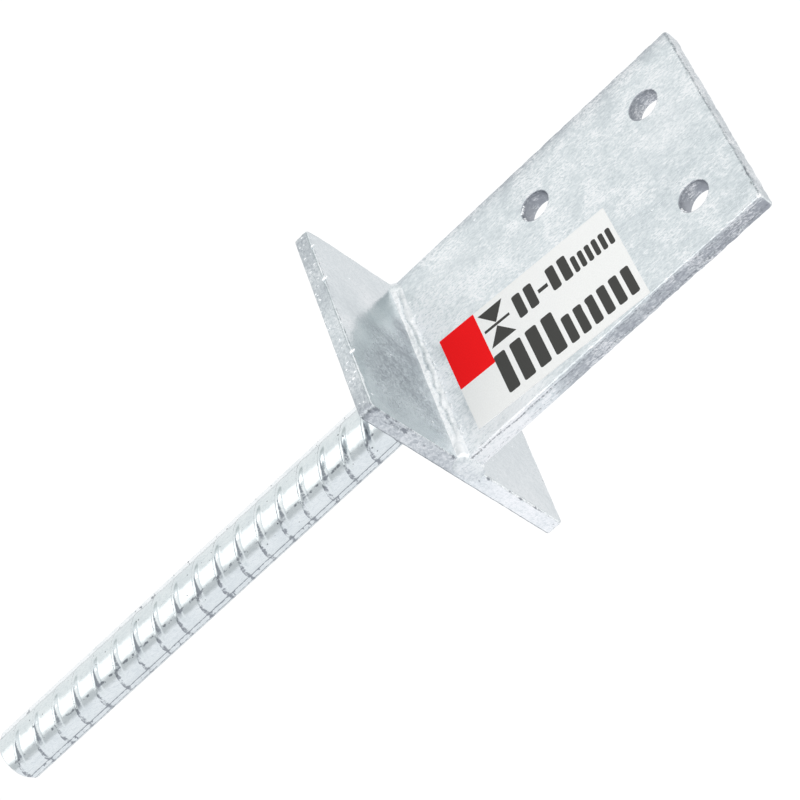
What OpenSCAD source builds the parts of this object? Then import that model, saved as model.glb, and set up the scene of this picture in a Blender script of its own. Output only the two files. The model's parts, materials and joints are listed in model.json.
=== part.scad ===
// Post base anchor: a flat upright blade with four bolt holes, welded across a square base plate
// that carries a ribbed bar underneath. The bar is cast into concrete and the blade is bolted
// into a slot in the foot of a timber post.
// Origin at the middle of the base plate's underside, +Z up along the blade, +X across its width.

/* [Upright blade] */
// Width of the blade
blade_w = 90; // [78:1:140]
// Height of the blade above the base plate
blade_h = 125; // [100:1:220]
// Thickness of the blade
blade_t = 6.5; // [4:0.5:12]

/* [Bolt holes] */
// Diameter of each bolt hole
hole_d = 11; // [7:0.5:14]
// Distance between the two columns of holes
hole_pitch_x = 49; // [24:1:62]
// Distance between the two rows of holes
hole_pitch_z = 48; // [24:1:70]
// Distance from the blade's top edge down to the upper row
hole_top = 18.5; // [12:0.5:40]
// Bevel worn round the rim of each hole
hole_rim = 0.4; // [0.1:0.1:1]

/* [Base plate] */
// How far the base plate reaches past the blade's width at each side
plate_margin = 0; // [0:1:40]
// Depth of the base plate across the blade
plate_d = 90; // [50:1:160]
// Thickness of the base plate
plate_t = 6; // [4:0.5:12]

/* [Edges] */
// Radius along the edges of the flat steel
edge_r = 0.8; // [0.3:0.1:1.5]
// Radius of the four corners of the blade's and the plate's outline
corner_r = 1.2; // [0.6:0.1:4]

/* [Anchor bar] */
// Diameter of the bar's core between its ribs
bar_core_d = 17.4; // [12:0.1:24]
// Length of the bar below the base plate
bar_len = 200; // [100:5:400]
// Bevel round the bar's free end
bar_end_bevel = 1.4; // [0.4:0.1:3]
// Turn of the two lengthwise ribs about the bar, from +X towards +Y
bar_turn = 38; // [0:1:90]

/* [Ribs] */
// Height of the crescent ribs at their middle
rib_h = 1.1; // [0.5:0.1:1.6]
// Width of a crescent rib's crest
rib_crest = 1.1; // [0.6:0.1:2]
// Run of each flank of a crescent rib, from crest to foot
rib_flank = 1.3; // [0.8:0.1:1.8]
// Distance from one crescent rib to the next along the bar
rib_pitch = 10.15; // [7:0.05:14]
// Lean of the crescent ribs away from square to the bar
rib_lean = 29; // [15:1:32]
// Distance from the base plate down to the first crescent rib
rib_first = 10.9; // [9:0.1:14]
// Height of the two lengthwise ribs
seam_h = 1.15; // [0.5:0.05:1.6]
// Width of a lengthwise rib's crest
seam_crest = 2; // [1:0.1:3]
// Width of a lengthwise rib at its foot
seam_foot = 4.4; // [3.2:0.1:5.5]

/* [Welds] */
// Leg of the two weld beads between the blade and the base plate
blade_weld_leg = 4; // [2.5:0.1:6]
// Leg of the weld bead round the bar under the base plate
bar_weld_leg = 4; // [2.5:0.1:6]
// Distance from one ripple of a weld bead to the next
ripple_pitch = 3; // [2:0.1:5]
// Height of the ripples of a weld bead
ripple_h = 0.3; // [0.1:0.05:0.4]

/* [Hidden] */
$fn = 48;

// Small overlap that lets one shape bite into another of the same piece
bite = 0.5;
plate_w = blade_w + 2 * plate_margin;
blade_top = plate_t + blade_h;
hole_row_top = blade_top - hole_top;
hole_rows = [hole_row_top - hole_pitch_z, hole_row_top];
hole_columns = [-hole_pitch_x / 2, hole_pitch_x / 2];

bar_core_r = bar_core_d / 2;
rib_r = bar_core_r + rib_h;
seam_r = bar_core_r + seam_h;
bar_reach = max(rib_r, seam_r);
rib_foot_w = rib_crest + 2 * rib_flank;
rib_depth = rib_h + bite;
rib_last = floor((bar_len - rib_first) / rib_pitch);
// Ribs whose flanks come up as far as the weld bead round the bar
weld_reach = bar_weld_leg + rib_foot_w + rib_r * tan(rib_lean);
rib_in_weld = max(0, ceil((weld_reach - rib_first) / rib_pitch));

blade_weld_len = blade_w - 2 * edge_r;
ripple_count = floor(blade_weld_len / ripple_pitch);
ripple_step = blade_weld_len / ripple_count;
// The bead's round back is struck from a point this far inside the steel on both sides of the corner
bead_inset = 0.6;
steel = "#c9d1d4";
bright_zinc = "#dfe4e6";

// Rectangle about the origin with rounded corners
module rounded_outline(w, h, r) {
    union() {
        square([w - 2 * r, h], center = true);
        square([w, h - 2 * r], center = true);
        for (sx = [-1, 1], sy = [-1, 1])
            translate([sx * (w / 2 - r), sy * (h / 2 - r)])
                circle(r);
    }
}

// Flat steel w by d, t thick about z = 0, with rounded corners and every edge eased
module flat_steel(w, d, t) {
    intersection() {
        translate([0, 0, -t / 2])
            linear_extrude(t)
                rounded_outline(w, d, corner_r);
        rotate([90, 0, 90])
            translate([0, 0, -w / 2])
                linear_extrude(w)
                    rounded_outline(d, t, edge_r);
        rotate([90, 0, 0])
            translate([0, 0, -d / 2])
                linear_extrude(d)
                    rounded_outline(w, t, edge_r);
    }
}

// The blade without its holes: one end square where it stands on the plate, the other eased
module blade_stock() {
    intersection() {
        translate([0, 0, blade_top - blade_h])
            rotate([90, 0, 0])
                flat_steel(blade_w, 2 * blade_h, blade_t);
        translate([-blade_w, -blade_t, plate_t])
            cube([2 * blade_w, 2 * blade_t, 2 * blade_h]);
    }
}

// One bolt hole along Y with the bevel at both rims
module bolt_hole() {
    rotate([90, 0, 0]) {
        cylinder(h = 2 * blade_t, d = hole_d, center = true);
        for (s = [-1, 1])
            translate([0, 0, s * blade_t / 2])
                cylinder(h = 2 * hole_rim, d1 = hole_d + 2 * hole_rim - s * 2 * hole_rim,
                         d2 = hole_d + 2 * hole_rim + s * 2 * hole_rim, center = true);
    }
}

module upright_blade() {
    color(steel)
        difference() {
            blade_stock();
            for (x = hole_columns, z = hole_rows)
                translate([x, 0, z])
                    bolt_hole();
        }
}

module plate_stock() {
    translate([0, 0, plate_t / 2])
        flat_steel(plate_w, plate_d, plate_t);
}

module base_plate() {
    color(steel)
        plate_stock();
}

// Half a disc with sloping flanks that stands proud of the core as one crescent, on the -Y side
module crescent_rib() {
    rotate([0, rib_lean, 0])
        rotate([0, 0, 180])
            rotate_extrude(angle = 180)
                polygon([
                    [0, -rib_foot_w / 2],
                    [rib_r - rib_depth, -rib_foot_w / 2],
                    [rib_r, -rib_crest / 2],
                    [rib_r, rib_crest / 2],
                    [rib_r - rib_depth, rib_foot_w / 2],
                    [0, rib_foot_w / 2]
                ]);
}

// Two rows of crescents, the rear row half a pitch lower
module crescent_ribs(first, last) {
    for (i = [first : last]) {
        translate([0, 0, -rib_first - i * rib_pitch])
            crescent_rib();
        translate([0, 0, -rib_first - (i + 0.5) * rib_pitch])
            mirror([0, 1, 0])
                crescent_rib();
    }
}

// Section of the bar square to its length: the core and the two lengthwise ribs
module bar_section() {
    circle(bar_core_r);
    for (s = [-1, 1])
        polygon([
            [0, s * seam_foot / 2],
            [s * (bar_core_r - bite), s * seam_foot / 2],
            [s * seam_r, s * seam_crest / 2],
            [s * seam_r, -s * seam_crest / 2],
            [s * (bar_core_r - bite), -s * seam_foot / 2],
            [0, -s * seam_foot / 2]
        ]);
}

// The bar down to a given length with the crescents from the first to the last named
module bar_stock(length, last) {
    rotate([0, 0, bar_turn]) {
        translate([0, 0, -length])
            linear_extrude(length)
                bar_section();
        crescent_ribs(0, last);
    }
}

// Everything that the ribs and the free end may fill: the full length, bevelled at its foot
module bar_envelope() {
    translate([0, 0, -bar_len + bar_end_bevel])
        cylinder(h = bar_len - bar_end_bevel, r = bar_reach + 1);
    translate([0, 0, -bar_len])
        cylinder(h = bar_end_bevel, r1 = bar_reach - bar_end_bevel, r2 = bar_reach);
}

module anchor_bar() {
    color(steel)
        intersection() {
            bar_stock(bar_len, rib_last);
            bar_envelope();
        }
}

// Rippled bead of quarter section along X, in the corner on the -Y side of the blade
module blade_bead() {
    bead_r = norm([blade_weld_leg + bead_inset, bead_inset]);
    ripple_r = ripple_step;
    difference() {
        translate([0, -blade_t / 2 + bead_inset, plate_t - bead_inset])
            rotate([0, 90, 0])
                rotate_extrude()
                    union() {
                        translate([0, -blade_weld_len / 2])
                            square([bead_r - ripple_h, blade_weld_len]);
                        for (i = [0 : ripple_count - 1])
                            translate([bead_r - ripple_r,
                                       (i + 0.5) * ripple_step - blade_weld_len / 2])
                                intersection() {
                                    circle(ripple_r);
                                    translate([0, -ripple_step / 2])
                                        square([ripple_r, ripple_step]);
                                }
                    }
        translate([-blade_w, -blade_t / 2, 0])
            cube([2 * blade_w, blade_t + 2 * blade_weld_leg, blade_h]);
        translate([-blade_w, -blade_t - 2 * blade_weld_leg, -blade_weld_leg])
            cube([2 * blade_w, blade_t + 4 * blade_weld_leg, plate_t + blade_weld_leg]);
    }
}

module blade_weld_front() {
    color(bright_zinc)
        blade_bead();
}

module blade_weld_back() {
    color(bright_zinc)
        rotate([0, 0, 180])
            blade_bead();
}

// Bead round the bar in the corner under the plate, hollowed to the ribbed bar
module bar_weld() {
    weld_r = norm([bar_weld_leg + bead_inset, bead_inset]);
    color(bright_zinc)
        difference() {
            rotate_extrude()
                intersection() {
                    translate([bar_core_r - bead_inset, bead_inset])
                        circle(weld_r);
                    translate([bar_core_r - bite, -2 * bar_weld_leg])
                        square([3 * bar_weld_leg, 2 * bar_weld_leg]);
                }
            bar_stock(3 * bar_weld_leg, rib_in_weld);
        }
}

upright_blade();
base_plate();
anchor_bar();
blade_weld_front();
blade_weld_back();
bar_weld();
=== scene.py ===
"""Looks of a post base anchor: a hot-dip galvanised weldment of blade, plate and ribbed bar.

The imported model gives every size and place. Each steel piece is rebuilt finer over its solid, with
eased edges and the uneven coat that a zinc bath leaves, and the paper label is added on the blade.
"""
import json
import logging
import math
from dataclasses import dataclass, field
from enum import Enum
from typing import NamedTuple

import bmesh
import bpy
import numpy as np
from mathutils import Matrix, Vector, noise
from mathutils.geometry import delaunay_2d_cdt


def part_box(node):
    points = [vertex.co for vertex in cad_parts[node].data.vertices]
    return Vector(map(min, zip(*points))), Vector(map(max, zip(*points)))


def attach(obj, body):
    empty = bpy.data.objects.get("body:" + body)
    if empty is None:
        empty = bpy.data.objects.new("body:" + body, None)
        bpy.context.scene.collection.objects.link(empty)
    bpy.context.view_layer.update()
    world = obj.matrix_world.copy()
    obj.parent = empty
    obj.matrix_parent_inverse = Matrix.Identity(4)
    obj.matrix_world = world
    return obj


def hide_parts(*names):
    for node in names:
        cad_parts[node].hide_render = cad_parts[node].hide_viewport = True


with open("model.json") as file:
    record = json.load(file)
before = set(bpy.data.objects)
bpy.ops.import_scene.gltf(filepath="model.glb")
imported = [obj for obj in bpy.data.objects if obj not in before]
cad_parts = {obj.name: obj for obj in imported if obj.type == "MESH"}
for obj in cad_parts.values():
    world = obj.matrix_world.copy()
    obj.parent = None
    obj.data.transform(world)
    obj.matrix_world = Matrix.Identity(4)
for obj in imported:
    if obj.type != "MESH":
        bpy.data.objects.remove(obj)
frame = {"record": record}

LOG = logging.getLogger("post_anchor")
MM = 0.001
ROOT = "root"
SHARP_ANGLE = math.radians(50)

# Kinds of node that are used often
MATH = "ShaderNodeMath"
RANGE = "ShaderNodeMapRange"
MIX = "ShaderNodeMix"
VECTOR = "ShaderNodeVectorMath"
FROM_XYZ = "ShaderNodeCombineXYZ"
TO_XYZ = "ShaderNodeSeparateXYZ"
NOISE = "ShaderNodeTexNoise"
MOVE = "GeometryNodeSetPosition"
STORE = "GeometryNodeStoreNamedAttribute"
NORMAL = "GeometryNodeInputNormal"
JOIN = "GeometryNodeJoinGeometry"

# Four sizes in mm: u, v, radius and depth of a spot of painted shade, whose negative depth paints light, or
# u, v, w and radius of a dark crumb
Spot = tuple[float, float, float, float]


class Slot(Enum):
    """A material slot of the record."""

    FLAT = "galvanised_flat_steel"
    BAR = "galvanised_ribbed_bar"
    WELD = "galvanised_weld"


class Side(Enum):
    """A side of the blade, by the sign of Y on which it lies."""

    FRONT = -1
    BACK = 1


def linear(hex_colour: str, level: float = 1.0) -> tuple[float, float, float, float]:
    """Turns an sRGB hex colour into linear light.

    Args:
        hex_colour: Six hex digits after a hash sign.
        level: What the light is multiplied by.

    Returns:
        The linear colour, opaque.
    """
    parts = [int(hex_colour[i:i + 2], 16) / 255 for i in (1, 3, 5)]
    light = [level * (c / 12.92 if c <= 0.04045 else ((c + 0.055) / 1.055) ** 2.4) for c in parts]
    return (light[0], light[1], light[2], 1.0)


def add(tree: bpy.types.NodeTree, kind: str, *values: object, inputs: dict | None = None,
        stops: list[tuple[float, tuple]] | None = None, **settings: object) -> bpy.types.Node:
    """Adds one node to a tree, with its settings, values and links.

    Args:
        tree: The shader or geometry tree.
        kind: The node's type name.
        values: A value, socket or node for each of the first inputs. A node gives its first open output.
        inputs: The same for inputs named by key.
        stops: Position and colour of each stop, for a node that holds a colour ramp.
        settings: The node's own properties.

    Returns:
        The new node.
    """
    node = tree.nodes.new(kind)
    for name, value in settings.items():
        setattr(node, name, value)
    for key, value in (dict(enumerate(values)) | (inputs or {})).items():
        if isinstance(value, bpy.types.Node):
            value = next(s for s in value.outputs if s.enabled)
        if isinstance(value, bpy.types.NodeSocket):
            tree.links.new(value, node.inputs[key])
        else:
            node.inputs[key].default_value = value
    for position, colour in stops or []:
        element = node.color_ramp.elements.new(position)
        element.color = colour
    if stops:
        node.color_ramp.elements.remove(node.color_ramp.elements[0])
        node.color_ramp.elements.remove(node.color_ramp.elements[-1])
    return node


@dataclass(frozen=True)
class ZincFinish:
    """Hot-dip galvanised steel: steel drawn from molten zinc, which freezes as a pale, uneven skin.

    The skin is a bright grey-blue metal, mottled where its crystals differ, frosted where it froze
    in fine leaves, satin because of its grain, and dotted with dark ash from the bath. A mesh says
    by its attributes where the skin is frosted, where shade and light are painted on it, and where
    a dark line of painted shade and crumbs lies.
    Real grain is finer than 0.1 mm, too fine to show, so it is drawn as coarse as grain_mm.
    """

    name: str
    pale: str = "#fdfeff"
    mid: str = "#e4eaec"
    deep: str = "#ccd3d7"
    soot: str = "#63666b"
    # Colour of the dark line, which is painted shade along edges and in creases, together with dark crumbs
    arris: str = "#858a91"
    # Colours of the painted shade and of the painted light that a mesh's attribute lays over the skin
    painted_shade: str = "#b9bdc3"
    painted_light: str = "#fdfeff"
    mottle_mm: float = 11.0
    mottle_span: tuple[float, float] = (0.42, 0.6)
    frost_mm: tuple[float, float, float] = (0.85, 0.85, 1.7)
    leaf_stops: tuple[float, float, float] = (0.38, 0.50, 0.64)
    # The leaves' relief is painted into the colour, as light on one side of each leaf and shade on the
    # other: a shifted copy is taken off the leaves, and the next value says how much of that is added
    painted_emboss_shift: tuple[float, float, float] = (0.16, 0.16, -0.1)
    painted_emboss: float = 0.75
    grit_mm: float = 0.6
    grain_mm: float = 0.35
    frost_height_mm: float = 0.16
    grain_height_mm: float = 0.01
    roughness: tuple[float, float] = (0.24, 0.38)
    dull_roughness: float = 0.22
    deep_frost_roughness: float = 0.0
    arris_span: tuple[float, float] = (0.92, 1.3)
    ash_mm: float = 1.6
    ash_r: float = 0.24
    ash_share: float = 0.03
    metallic: float = 1.0

    def build(self) -> bpy.types.Material:
        """Builds the node material.

        Returns:
            The material.
        """
        material = bpy.data.materials.new(self.name)
        material.use_nodes = True
        tree = material.node_tree
        tree.nodes.clear()
        place = add(tree, "ShaderNodeTexCoord").outputs["Object"]
        frost = add(tree, "ShaderNodeAttribute", attribute_name="frost").outputs["Fac"]
        mottle = add(tree, NOISE, inputs={
            "Vector": place, "Scale": 1 / (self.mottle_mm * MM), "Detail": 3.0, "Roughness": 0.55,
            "Distortion": 0.6})

        # Leaves of frozen zinc, which stand out most where the mottle is pale, with their relief painted in
        # as light on one side of each leaf and shade on the other
        stretched = add(tree, "ShaderNodeMapping", inputs={
            "Vector": place, "Scale": tuple(1 / (size * MM) for size in self.frost_mm)})
        shifted = add(tree, VECTOR, stretched, self.painted_emboss_shift, operation="ADD")
        leaves, beside = (
            add(tree, NOISE, inputs={
                "Vector": where, "Scale": 1.0, "Detail": 2.5, "Roughness": 0.6, "Distortion": 0.6})
            for where in (stretched, shifted))
        painted_emboss = add(tree, MATH, leaves, beside, operation="SUBTRACT")
        blend = add(tree, MATH, mottle, leaves, operation="ADD")
        blend = add(tree, MATH, blend, 0.5, operation="MULTIPLY")
        strength = add(tree, RANGE, mottle, *self.mottle_span, 0.1 * self.painted_emboss, self.painted_emboss)
        blend = add(tree, MATH, painted_emboss, strength, blend, operation="MULTIPLY_ADD")
        leaf_colours = (linear(colour) for colour in (self.deep, self.mid, self.pale))
        leafy = add(tree, "ShaderNodeValToRGB", blend, stops=list(zip(self.leaf_stops, leaf_colours)))
        skin = add(tree, MIX, data_type="RGBA", inputs={0: frost, 6: linear(self.mid), 7: leafy})
        marks = self.marks(tree, place, blend)
        for share, colour in marks:
            skin = add(tree, MIX, data_type="RGBA", inputs={0: share, 6: skin.outputs[2], 7: linear(colour)})

        # Satin by its grain, rougher where shade is painted, and roughest where the frost is deep
        painted_shade_share = marks[0][0]
        rough = add(tree, RANGE, mottle, 0.3, 0.7, *self.roughness)
        rough = add(tree, MATH, painted_shade_share, self.dull_roughness, rough, operation="MULTIPLY_ADD")
        scattered = add(tree, RANGE, frost, 1.0, 1.6, 0.0, self.deep_frost_roughness)
        rough = add(tree, MATH, scattered, rough, operation="ADD")
        grain = add(tree, NOISE, inputs={"Vector": place, "Scale": 1 / (self.grain_mm * MM), "Detail": 2.0})
        coarse_bump = add(tree, "ShaderNodeBump", inputs={
            "Height": leaves, "Distance": self.frost_height_mm * MM, "Strength": frost})
        fine_bump = add(tree, "ShaderNodeBump", inputs={
            "Height": grain, "Distance": self.grain_height_mm * MM, "Strength": 1.0, "Normal": coarse_bump})
        shader = add(tree, "ShaderNodeBsdfPrincipled", inputs={
            "Base Color": skin.outputs[2], "Metallic": self.metallic, "Roughness": rough,
            "Normal": fine_bump})
        add(tree, "ShaderNodeOutputMaterial", shader)
        return material

    def marks(self, tree: bpy.types.NodeTree, place: bpy.types.NodeSocket,
              blend: bpy.types.Node) -> list[tuple[bpy.types.Node, str]]:
        """Finds where shade and light are painted in patches, where a dark line lies, and where ash dots the
        skin.

        Args:
            tree: The material's tree.
            place: The point's place on the object.
            blend: The mottled and leafy pattern.

        Returns:
            The share of each mark and its colour, from the lowest to the topmost: painted shade, painted
            light, a dark line of painted shade and crumbs, ash.
        """
        tone, edge = (add(tree, "ShaderNodeAttribute", attribute_name=name).outputs["Fac"]
                      for name in ("tone", "arris"))
        # Shade is painted where the attribute is below 0 and light where it is above, both broken up by the
        # leaves and mottle
        shares = []
        for way, ground in ((-2.0, 2.0), (2.0, 0.0)):
            patchy = add(tree, MATH, blend, way, ground, operation="MULTIPLY_ADD")
            patchy = add(tree, MATH, patchy, patchy, operation="MULTIPLY")
            signed = add(tree, MATH, tone, way / 2, operation="MULTIPLY")
            shares.append(add(tree, MATH, signed, patchy, operation="MULTIPLY", use_clamp=True))

        # The dark line, painted shade along edges and creases with dark crumbs, is whole where it is strong
        # and crumbled where it is weak
        grit = add(tree, NOISE, inputs={"Vector": place, "Scale": 1 / (self.grit_mm * MM), "Detail": 2.0})
        edge = add(tree, MATH, edge, grit, operation="ADD")
        shares.append(add(tree, RANGE, edge, *self.arris_span, 0.0, 0.9))

        # Ash is caught in the zinc in small dark dots with ragged edges
        ragged = add(tree, VECTOR, grit.outputs["Color"], (0.5 * self.grit_mm * MM,) * 3, place,
                     operation="MULTIPLY_ADD")
        dots = add(tree, "ShaderNodeTexVoronoi", inputs={"Vector": ragged, "Scale": 1 / (self.ash_mm * MM)})
        size = add(tree, RANGE, dots.outputs["Color"], self.ash_share, 0.0, 0.0, self.ash_r)
        shares.append(add(tree, RANGE, inputs={
            "Value": dots.outputs["Distance"], "From Min": size, "From Max": 0.0, "To Min": 0.0,
            "To Max": 1.6}))
        return list(zip(shares, (self.painted_shade, self.painted_light, self.arris, self.soot)))


@dataclass(frozen=True)
class PrintedPaper:
    """Coated label paper or flat ink on it: matt and even, with a faint fibre that tints and roughens it.

    Real fibres are some 0.03 mm wide, too fine to show, so they are drawn as coarse as fibre_mm.
    """

    name: str
    colour: str
    fibre_mm: float = 0.5
    fibre_height_mm: float = 0.004
    fibre_stops: tuple[float, float] = (0.3, 0.7)
    tint: float = 0.035
    roughness: float = 0.6
    gloss: float = 0.1

    def build(self) -> bpy.types.Material:
        """Builds the node material.

        Returns:
            The material.
        """
        material = bpy.data.materials.new(self.name)
        material.use_nodes = True
        tree = material.node_tree
        tree.nodes.clear()
        place = add(tree, "ShaderNodeTexCoord").outputs["Object"]
        fibre = add(tree, NOISE, inputs={"Vector": place, "Scale": 1 / (self.fibre_mm * MM), "Detail": 3.0})
        tone = add(tree, "ShaderNodeValToRGB", fibre, stops=[
            (stop, linear(self.colour, level))
            for stop, level in zip(self.fibre_stops, (1 - self.tint, 1 + self.tint))])
        bump = add(tree, "ShaderNodeBump", inputs={
            "Height": fibre, "Distance": self.fibre_height_mm * MM, "Strength": 1.0})
        shader = add(tree, "ShaderNodeBsdfPrincipled", inputs={
            "Base Color": tone, "Roughness": self.roughness, "Specular IOR Level": self.gloss,
            "Normal": bump})
        add(tree, "ShaderNodeOutputMaterial", shader)
        return material


class ShapeTree:
    """A Geometry Nodes tree with named inputs, which turns a start mesh into a finished piece."""

    SOCKETS = {float: "NodeSocketFloat", int: "NodeSocketInt", bpy.types.Material: "NodeSocketMaterial"}
    # The painted highlight on each frozen drip, and its shape
    DRIP_PAINTED_GLINT = 0.8
    DRIP_HEIGHT = 0.35
    DRIP_LENGTH = 1.5

    def __init__(self, name: str) -> None:
        """Starts an empty tree with a geometry input and output.

        Args:
            name: The tree's name.
        """
        self.tree = bpy.data.node_groups.new(name, "GeometryNodeTree")
        self.values: dict[str, object] = {}
        for way in ("INPUT", "OUTPUT"):
            self.tree.interface.new_socket("Geometry", in_out=way, socket_type="NodeSocketGeometry")
        self.start = add(self.tree, "NodeGroupInput")
        self.geometry = self.start.outputs["Geometry"]

    def given(self, name: str, value: float | int | bpy.types.Material) -> bpy.types.NodeSocket:
        """Adds a named input and the value that it gets.

        Args:
            name: The input's name.
            value: A size, a count or a material.

        Returns:
            The socket that carries the value inside the tree.
        """
        kind = next(s for t, s in self.SOCKETS.items() if isinstance(value, t))
        item = self.tree.interface.new_socket(name, in_out="INPUT", socket_type=kind)
        self.values[item.identifier] = value
        return self.start.outputs[name]

    def spatter(self, geometry: bpy.types.Node, per_m2: float, least_mm: float, most_mm: float,
                seed: object) -> bpy.types.Node:
        """Sets small frozen drips of zinc on a surface, as flat beads with a painted highlight.

        Args:
            geometry: The node that gives the surface.
            per_m2: How many there are on a square metre.
            least_mm: Radius of the smallest.
            most_mm: Radius of the largest.
            seed: What fixes their places.

        Returns:
            The node that gives the surface with the beads.
        """
        tree = self.tree
        spots = add(tree, "GeometryNodeDistributePointsOnFaces", inputs={
            "Mesh": geometry, "Density": self.given("Drips", per_m2), "Seed": seed})
        drip = add(tree, "GeometryNodeMeshIcoSphere", inputs={"Radius": 1.0, "Subdivisions": 3})
        # Each drip carries a painted highlight
        drip = add(tree, STORE, data_type="FLOAT", domain="POINT", inputs={
            "Geometry": drip, "Name": "tone", "Value": self.DRIP_PAINTED_GLINT})
        girth = add(tree, "FunctionNodeRandomValue", data_type="FLOAT", inputs={
            2: self.given("Least Drip", least_mm * MM), 3: self.given("Most Drip", most_mm * MM),
            8: seed}).outputs[1]
        low = add(tree, MATH, girth, self.DRIP_HEIGHT, operation="MULTIPLY")
        long = add(tree, MATH, girth, self.DRIP_LENGTH, operation="MULTIPLY")
        beads = add(tree, "GeometryNodeInstanceOnPoints", inputs={
            "Points": spots.outputs["Points"], "Instance": drip, "Rotation": spots.outputs["Rotation"],
            "Scale": add(tree, FROM_XYZ, girth, long, low)})
        whole = add(tree, JOIN)
        for part in (geometry, beads):
            tree.links.new(part.outputs[0], whole.inputs[0])
        return whole

    def close(self, geometry: object, material: bpy.types.Material) -> None:
        """Ends the tree: instances become real and the material is set.

        Args:
            geometry: The socket or node that carries the shape.
            material: The material of all its faces.
        """
        real = add(self.tree, "GeometryNodeRealizeInstances", geometry)
        dressed = add(self.tree, "GeometryNodeSetMaterial", inputs={
            "Geometry": real, "Material": self.given("Material", material)})
        add(self.tree, "NodeGroupOutput", dressed)

    def grow(self, name: str, start: bpy.types.Mesh) -> bpy.types.Object:
        """Runs the tree on a start mesh and keeps the result as a plain mesh.

        Args:
            name: The finished piece's name.
            start: The mesh that enters the tree.

        Returns:
            The finished object, at the origin and without modifiers.
        """
        seed = bpy.data.objects.new(name + "_start", start)
        bpy.context.scene.collection.objects.link(seed)
        modifier = seed.modifiers.new(name, "NODES")
        modifier.node_group = self.tree
        for identifier, value in self.values.items():
            modifier[identifier] = value
        graph = bpy.context.evaluated_depsgraph_get()
        mesh = bpy.data.meshes.new_from_object(
            seed.evaluated_get(graph), preserve_all_data_layers=True, depsgraph=graph)
        bpy.data.objects.remove(seed)
        return placed(name, mesh)


def placed(name: str, mesh: bpy.types.Mesh) -> bpy.types.Object:
    """Puts a finished mesh in the scene, smooth but for its sharp edges.

    Args:
        name: The object's name.
        mesh: The mesh, in its place in the frame.

    Returns:
        The object.
    """
    mesh.name = name
    mesh.shade_smooth()
    mesh.set_sharp_from_angle(angle=SHARP_ANGLE)
    piece = bpy.data.objects.new(name, mesh)
    bpy.context.scene.collection.objects.link(piece)
    return piece


def seat(piece: bpy.types.Object, node: str | None) -> None:
    """Ties a finished piece to the frame and logs it.

    Args:
        piece: The object.
        node: The CAD node that it stands for, or None where it is an addition.
    """
    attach(piece, ROOT)
    if node:
        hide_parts(node)
    LOG.info("%s: %d faces", piece.name, len(piece.data.polygons))


@dataclass
class ZincCoat:
    """The skin of zinc on a piece: soft waves where it ran, fine ripples, and a few frozen drips."""

    wave_mm: float = 13.0
    wave_height_mm: float = 0.16
    ripple_mm: float = 3.0
    ripple_height_mm: float = 0.05
    drips_per_m2: float = 2500.0
    drip_mm: tuple[float, float] = (0.15, 0.45)
    seed: int = 3

    def over(self, name: str, mesh: bpy.types.Mesh, material: bpy.types.Material) -> bpy.types.Object:
        """Lays the coat over a mesh.

        Args:
            name: The finished piece's name.
            mesh: The bare steel's mesh.
            material: The zinc.

        Returns:
            The coated object.
        """
        shape = ShapeTree(name + "_coat")
        tree = shape.tree
        seed = shape.given("Seed", self.seed)
        height = None
        for label, size, depth in (("Wave", self.wave_mm, self.wave_height_mm),
                                   ("Ripple", self.ripple_mm, self.ripple_height_mm)):
            pitch = shape.given(label + " Size", size * MM)
            scale = add(tree, MATH, 1.0, pitch, operation="DIVIDE")
            swell = add(tree, NOISE, noise_dimensions="4D", inputs={
                "W": seed, "Scale": scale, "Detail": 2.0})
            centred = add(tree, MATH, swell, 0.5, operation="SUBTRACT")
            lift = add(tree, MATH, centred, shape.given(label + " Height", depth * MM), operation="MULTIPLY")
            height = add(tree, MATH, height, lift, operation="ADD") if height else lift
        offset = add(tree, VECTOR, add(tree, NORMAL),
                     operation="SCALE", inputs={"Scale": height})
        moved = add(tree, MOVE, inputs={"Geometry": shape.geometry, "Offset": offset})
        shape.close(shape.spatter(moved, self.drips_per_m2, *self.drip_mm, seed), material)
        return shape.grow(name, mesh)


class Wall(NamedTuple):
    """The rings of points that run round the outline or round a hole, from one face to the other."""

    start: int
    count: int
    rings: int
    inward: bool


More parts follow.
